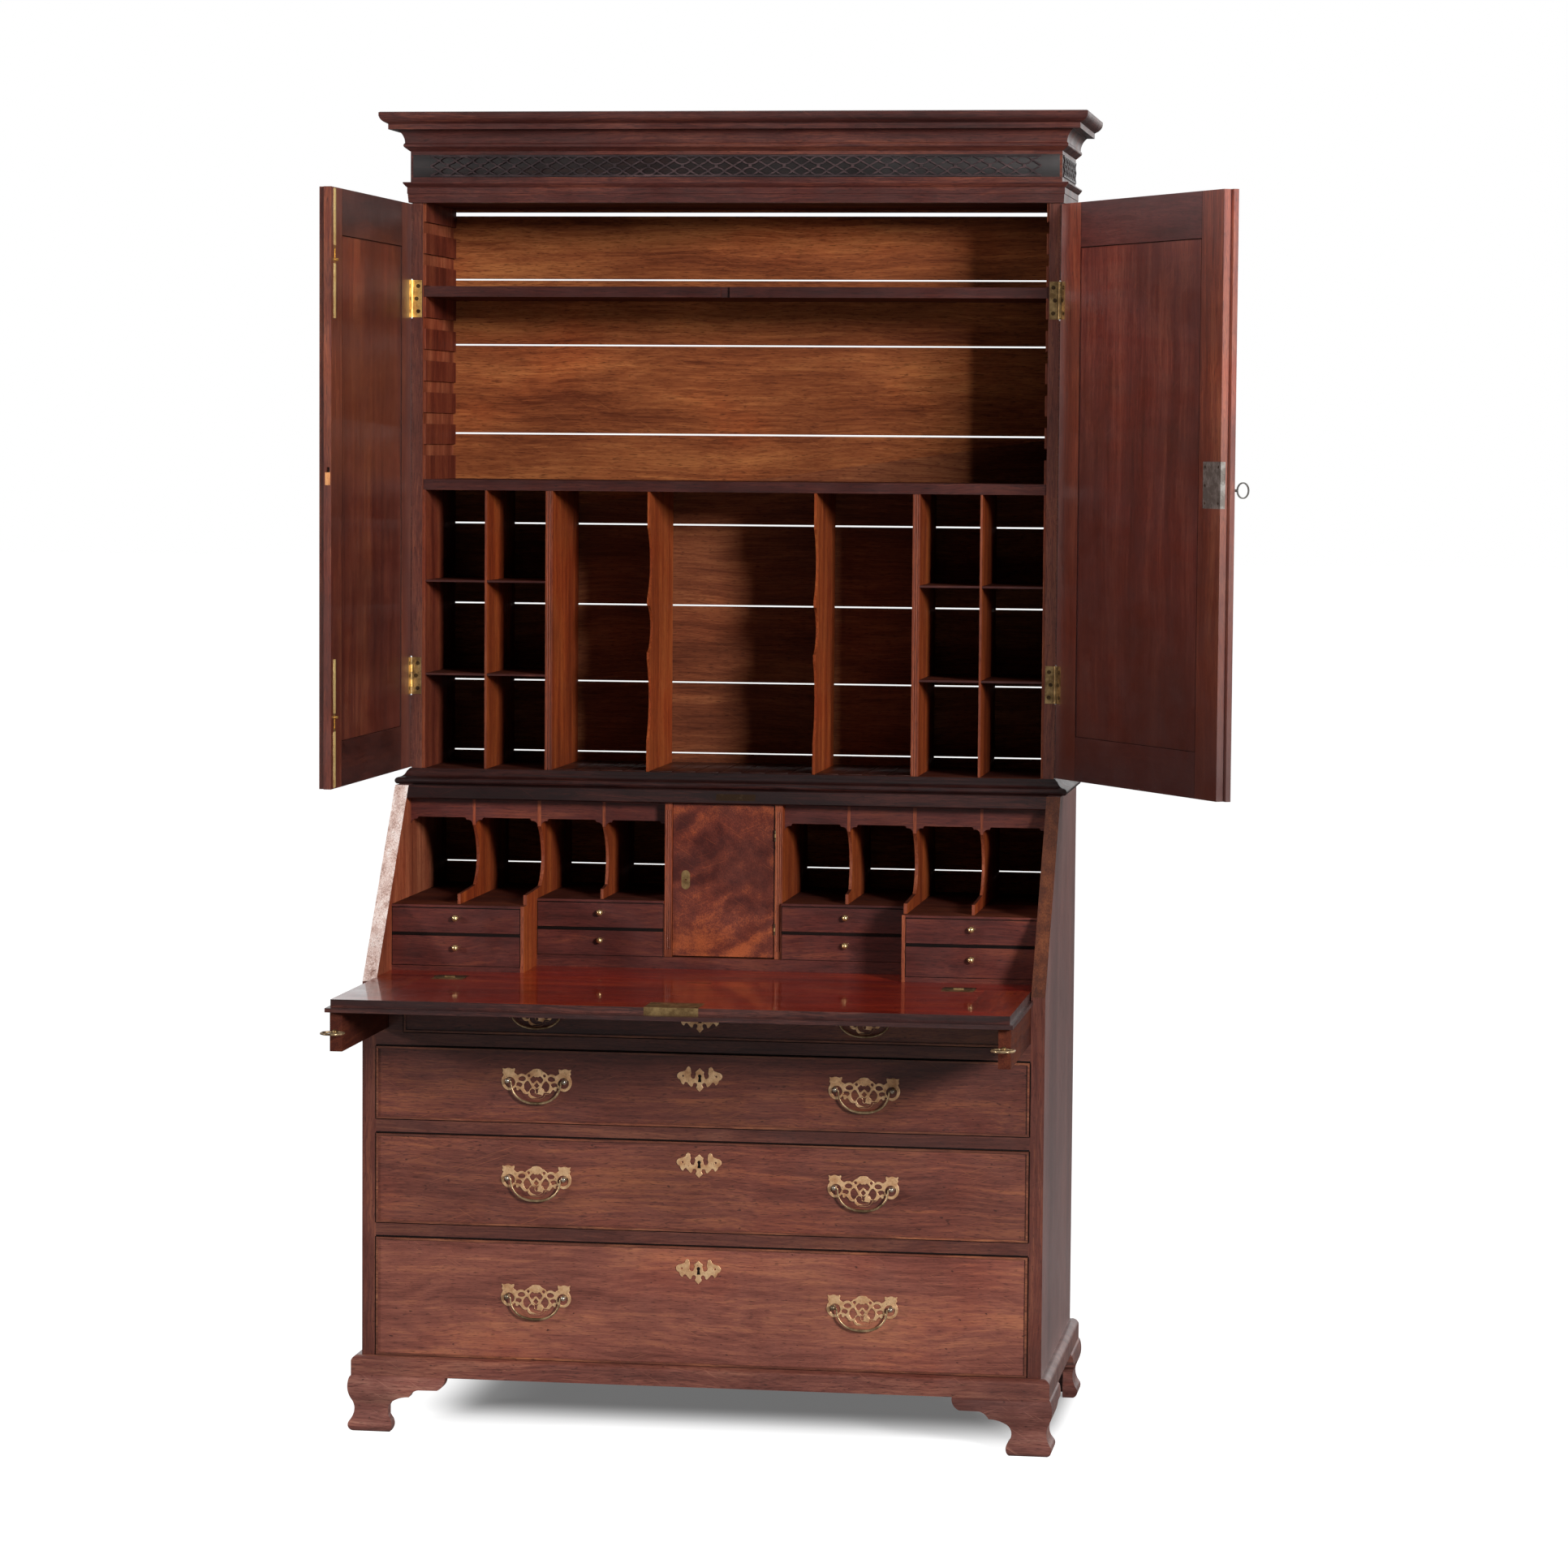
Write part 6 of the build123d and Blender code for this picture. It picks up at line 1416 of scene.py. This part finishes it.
@dataclass
class Screws(Assembly):
    """Slotted screws of the hinges, the lock, the bolts and the desk's plates.

    Attributes:
        bodies: The body that each group of screws moves with.
        slot_width: Width of a slot.
        height: Height of a head.
        radii: Radius of a head on the hinges, the bolts, the lock and the desk.
        bolt_x: Distance of the bolts' screws from the middle line.
        bolt_levels: Their levels.
        lock_spots: Distance from the middle line and level of the lock's screws.
        desk_level: Level of the desk's screws.
        desk_hinge_x: Distance of the fall's hinges from the middle line.
        plate_spots: Place of the screws of the fall's lock plate.
        made: The heads made so far, by group.
    """

    bodies: dict[str, str] = field(default_factory=lambda: {
        "case_hinge_screws": "carcass", "left_door_screws": "left_door",
        "right_door_screws": "right_door", "fall_screws": "fall", "bed_screws": "carcass",
    })
    slot_width: float = 0.0008
    height: float = 0.0004
    radii: tuple[float, ...] = (0.0036, 0.0022, 0.0024, 0.0026)
    bolt_x: float = 0.0244
    bolt_levels: tuple[float, ...] = (2.103, 1.902, 1.1295, 1.3310)
    lock_spots: tuple[Pair, ...] = (
        (0.008, 1.605), (0.008, 1.664), (0.052, 1.605), (0.052, 1.664), (0.052, 1.634)
    )
    desk_level: float = 0.7831
    desk_hinge_x: float = 0.437
    plate_spots: tuple[Pair, ...] = (
        (-0.032, -0.270), (0.046, -0.270), (-0.032, -0.318), (0.046, -0.318), (0.007, -0.270)
    )
    made: dict[str, list[Piece]] = field(default_factory=dict)

    def head(self, radius: float) -> Piece:
        """Make one screw head that faces up, with its top at the origin.

        Args:
            radius: Radius of the head.

        Returns:
            The head.
        """
        deselect_all()
        bpy.ops.mesh.primitive_cylinder_add(
            vertices=16, radius=radius, depth=self.height, location=(0, 0, -self.height / 2)
        )
        head = bpy.context.active_object
        settle(head)
        bpy.ops.object.mode_set(mode="EDIT")
        for place in (-self.slot_width / 2, self.slot_width / 2):
            bpy.ops.mesh.select_all(action="SELECT")
            bpy.ops.mesh.bisect(plane_co=(place, 0, 0), plane_no=(1, 0, 0))
        bpy.ops.mesh.select_all(action="DESELECT")
        bpy.ops.object.mode_set(mode="OBJECT")
        for face in head.data.polygons:
            face.select = face.normal.z > 0.9 and abs(face.center.x) < self.slot_width / 2
        bpy.ops.object.mode_set(mode="EDIT")
        bpy.ops.mesh.select_mode(type="FACE")
        sink = (0, 0, -self.height * 0.8)
        bpy.ops.mesh.extrude_region_move(TRANSFORM_OT_translate={"value": sink})
        bpy.ops.object.mode_set(mode="OBJECT")
        return head

    def drive(self, group: str, place: Vector, facing: Vector, radius: float, turn: float) -> None:
        """Set one screw.

        Args:
            group: Name of the piece that it becomes part of.
            place: Middle of its head's top.
            facing: The way that its head looks.
            radius: Radius of its head.
            turn: Turn of its slot, in radians.
        """
        head = self.head(radius)
        head.matrix_world = (
            Matrix.Translation(place) @ facing.to_track_quat("Z", "Y").to_matrix().to_4x4()
            @ Matrix.Rotation(turn, 4, "Z")
        )
        settle(head)
        self.made.setdefault(group, []).append(head)

    def case_hinges(self) -> None:
        """Set the screws in the fixed leaves of the door hinges."""
        for sign in SIGNS.values():
            for level in HINGE_LEVELS:
                for index, (rise, shift) in enumerate(HINGE_SCREWS):
                    place = Vector((sign * (HINGE_X + shift), 0.29755, level + rise))
                    self.drive("case_hinge_screws", place, FRONTWARDS, self.radii[0],
                               0.6 * index + 0.4 * sign)

    def doors(self) -> None:
        """Set the screws in both doors' inner faces, given in the shut doors' frame."""
        hinge, bolt, lock, _ = self.radii
        hinges = [
            (HINGE_X + shift, level + rise, hinge, 0.5 + rise * 40)
            for level in HINGE_LEVELS for rise, shift in HINGE_SCREWS
        ]
        bolts = [(self.bolt_x, level, bolt, 0.3) for level in self.bolt_levels]
        locks = [(x, level, lock, x * 50) for x, level in self.lock_spots]
        for side, spots in (("left", hinges + bolts), ("right", hinges + locks)):
            foot, swing = hinge_of(side), Matrix.Rotation(DOOR_TURNS[side], 3, "Z")
            for across, level, radius, slot in spots:
                shut = Vector((SIGNS[side] * across, DOOR_FACE_Y + 0.0001, level))
                self.drive(f"{side}_door_screws", swing @ (shut - foot) + foot,
                           swing @ BACKWARDS, radius, slot)

    def desk(self) -> None:
        """Set the screws of the fall's hinges and lock plate."""
        radius = self.radii[3]
        for sign in SIGNS.values():
            for along in (-0.018, 0.018):
                x = sign * self.desk_hinge_x + along
                for group, y, turn in (
                    ("fall_screws", 0.002, 0.7 * along * 60), ("bed_screws", 0.042, 0.9 * sign)
                ):
                    self.drive(group, Vector((x, y, self.desk_level)), UP, radius, turn)
        for x, y in self.plate_spots:
            self.drive("fall_screws", Vector((x, y, self.desk_level)), UP, radius, x * 30)

    def build(self) -> None:
        """Build every screw and hang them on their bodies."""
        self.case_hinges()
        self.doors()
        self.desk()
        for group, heads in self.made.items():
            self.hang(heads, group, "brown_screw", self.bodies[group], "brass")


@dataclass
class Studio:
    """The camera, the lamps, the floor and the white surroundings.

    Attributes:
        eye: The camera's place.
        yaw: Its turn about the vertical, in radians.
        pitch: How far it looks down, in radians.
        roll: Its turn about its own axis, in radians.
        lens_mm: Focal length.
        sensor_mm: Width of its picture.
        floor_half: Half the floor's width.
        shadow_borders: Axis of each border of the floor's painted shadow, where its glow is held low,
        and the two places between which the floor turns white.
        shadow_glow: Light that the painted shadow gives to the camera.
        floor_grey: Grey of the floor.
        world_light: Light of the surroundings on the object.
        dim_side: Share of it that mirrors show in front.
        dim_span: Where it grows to all of it, from front to back.
        lamps: Name, place, aim, width and power in watts of each lamp.
    """

    eye: Triple = (1.3013, -7.8564, 1.6978)
    yaw: float = 0.1467
    pitch: float = 0.0719
    roll: float = 0.0075
    lens_mm: float = 108.75
    sensor_mm: float = 36.0
    floor_half: float = 60.0
    shadow_borders: tuple[tuple[str, float, float], ...] = (
        ("X", 0.56, 0.62), ("X", -0.42, -0.56), ("Y", 0.30, 0.0), ("Y", 0.50, 0.62)
    )
    shadow_glow: float = 0.15
    floor_grey: Triple = (0.45, 0.45, 0.45)
    world_light: float = 0.03
    dim_side: float = 0.12
    dim_span: Pair = (-0.2, 0.35)
    lamps: tuple[tuple[str, Triple, Triple, float, float], ...] = (
        ("key_lamp", (6.9, -8.2, 3.9), (0.0, 0.1, 1.1), 2.0, 1300.0),
        ("left_lamp", (-6.5, -3.9, 2.9), (0.2, 0.1, 1.4), 1.2, 260.0),
        ("top_lamp", (0.2, -1.0, 5.6), (0.0, 0.0, 0.0), 3.4, 15.0),
    )

    def camera(self) -> None:
        """Set the camera as the photograph has it."""
        forward = Vector((
            -math.sin(self.yaw) * math.cos(self.pitch), math.cos(self.yaw) * math.cos(self.pitch),
            -math.sin(self.pitch),
        ))
        right = Vector((math.cos(self.yaw), math.sin(self.yaw), 0.0))
        up = right.cross(forward)
        cosine, sine = math.cos(self.roll), math.sin(self.roll)
        axes = Matrix((right * cosine + up * sine, up * cosine - right * sine, -forward))
        deselect_all()
        bpy.ops.object.camera_add(location=self.eye)
        camera = bpy.context.active_object
        camera.name = "camera"
        camera.matrix_world = Matrix.LocRotScale(
            Vector(self.eye), axes.transposed().to_quaternion(), None
        )
        camera.data.lens = self.lens_mm
        camera.data.sensor_width = camera.data.sensor_height = self.sensor_mm
        camera.data.clip_end = 300.0
        bpy.context.scene.camera = camera

    def lamp(self, name: str, place: Triple, aim: Triple, size: float, power: float) -> None:
        """Add a soft square lamp.

        Args:
            name: The lamp's name.
            place: Where it stands.
            aim: The point that it faces.
            size: Width of its face.
            power: Its power in watts.
        """
        deselect_all()
        bpy.ops.object.light_add(type="AREA", location=place)
        lamp = bpy.context.active_object
        lamp.name = name
        lamp.data.shape = "SQUARE"
        lamp.data.size = size
        lamp.data.energy = power
        lamp.rotation_euler = (Vector(aim) - Vector(place)).to_track_quat("-Z", "Y").to_euler()

    def world(self) -> None:
        """Make white surroundings that light the object weakly."""
        world = bpy.data.worlds.new("white_room")
        bpy.context.scene.world = world
        sky = Shader(world)
        rays = sky.node("LightPath").outputs
        way = sky.node("SeparateXYZ", {0: sky.coordinates["Generated"]}).outputs["Y"]
        room = sky.span(way, *self.dim_span, self.dim_side, 1.0)
        mirrors = sky.maths("MAXIMUM", rays["Is Glossy Ray"], rays["Is Transmission Ray"])
        mirrored = sky.maths("MULTIPLY", mirrors, room)
        seen = sky.maths("MAXIMUM", rays["Is Camera Ray"], mirrored)
        sky.feed(sky.tree.nodes["Background"], {
            "Color": (1.0, 1.0, 1.0), "Strength": sky.maths("MAXIMUM", seen, self.world_light),
        })

    def floor(self) -> None:
        """Lay a pale floor whose glow is held low under the object as a painted shadow and rises to
        plain white away from it.
        """
        deselect_all()
        bpy.ops.mesh.primitive_plane_add(size=2 * self.floor_half, location=(0.0, 0.0, 0.0))
        floor = bpy.context.active_object
        floor.name = "floor"
        material = bpy.data.materials.new("pale_floor")
        paint = Shader(material)
        paint.tree.nodes.remove(paint.surface)
        parts = paint.node("SeparateXYZ", {0: paint.coordinates["Object"]}).outputs
        # The zone under the object, where the glow to the camera stays low, is a painted shadow.
        under = None
        for axis, inner, outer in self.shadow_borders:
            border = paint.span(parts[axis], inner, outer, 1.0, 0.0, "SMOOTHSTEP")
            under = paint.maths("MULTIPLY", under, border) if under else border
        away = paint.span(under, 0.0, 1.0, 1.0, self.shadow_glow)
        camera_ray = paint.node("LightPath").outputs["Is Camera Ray"]
        glow = paint.node("Emission", {"Strength": paint.maths("MULTIPLY", camera_ray, away)})
        matt = paint.node("BsdfDiffuse", {"Color": self.floor_grey})
        both = paint.node("AddShader", {0: matt.outputs[0], 1: glow.outputs[0]})
        paint.feed(paint.tree.nodes["Material Output"], {"Surface": both.outputs[0]})
        floor.data.materials.append(material)

    def build(self) -> None:
        """Set the studio up."""
        self.camera()
        self.world()
        self.floor()
        for lamp in self.lamps:
            self.lamp(*lamp)
        bpy.context.scene.view_settings.view_transform = "Standard"
        log.info("studio: camera, %d lamps, floor and white room", len(self.lamps))


def main() -> None:
    """Build the looks round the frame."""
    logging.basicConfig(level=logging.INFO, format="%(name)s: %(message)s")
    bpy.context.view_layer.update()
    deselect_all()
    Studio().build()
    finishes = {finish.name: finish.make() for finish in (*WOODS, *door_woods(), *METALS)}
    for assembly in (Dressing, CaseTrim, Screws, GapShadeLines, DoorDetails, DrawerBrass):
        assembly(finishes).build()


if __name__ == "__main__":
    main()
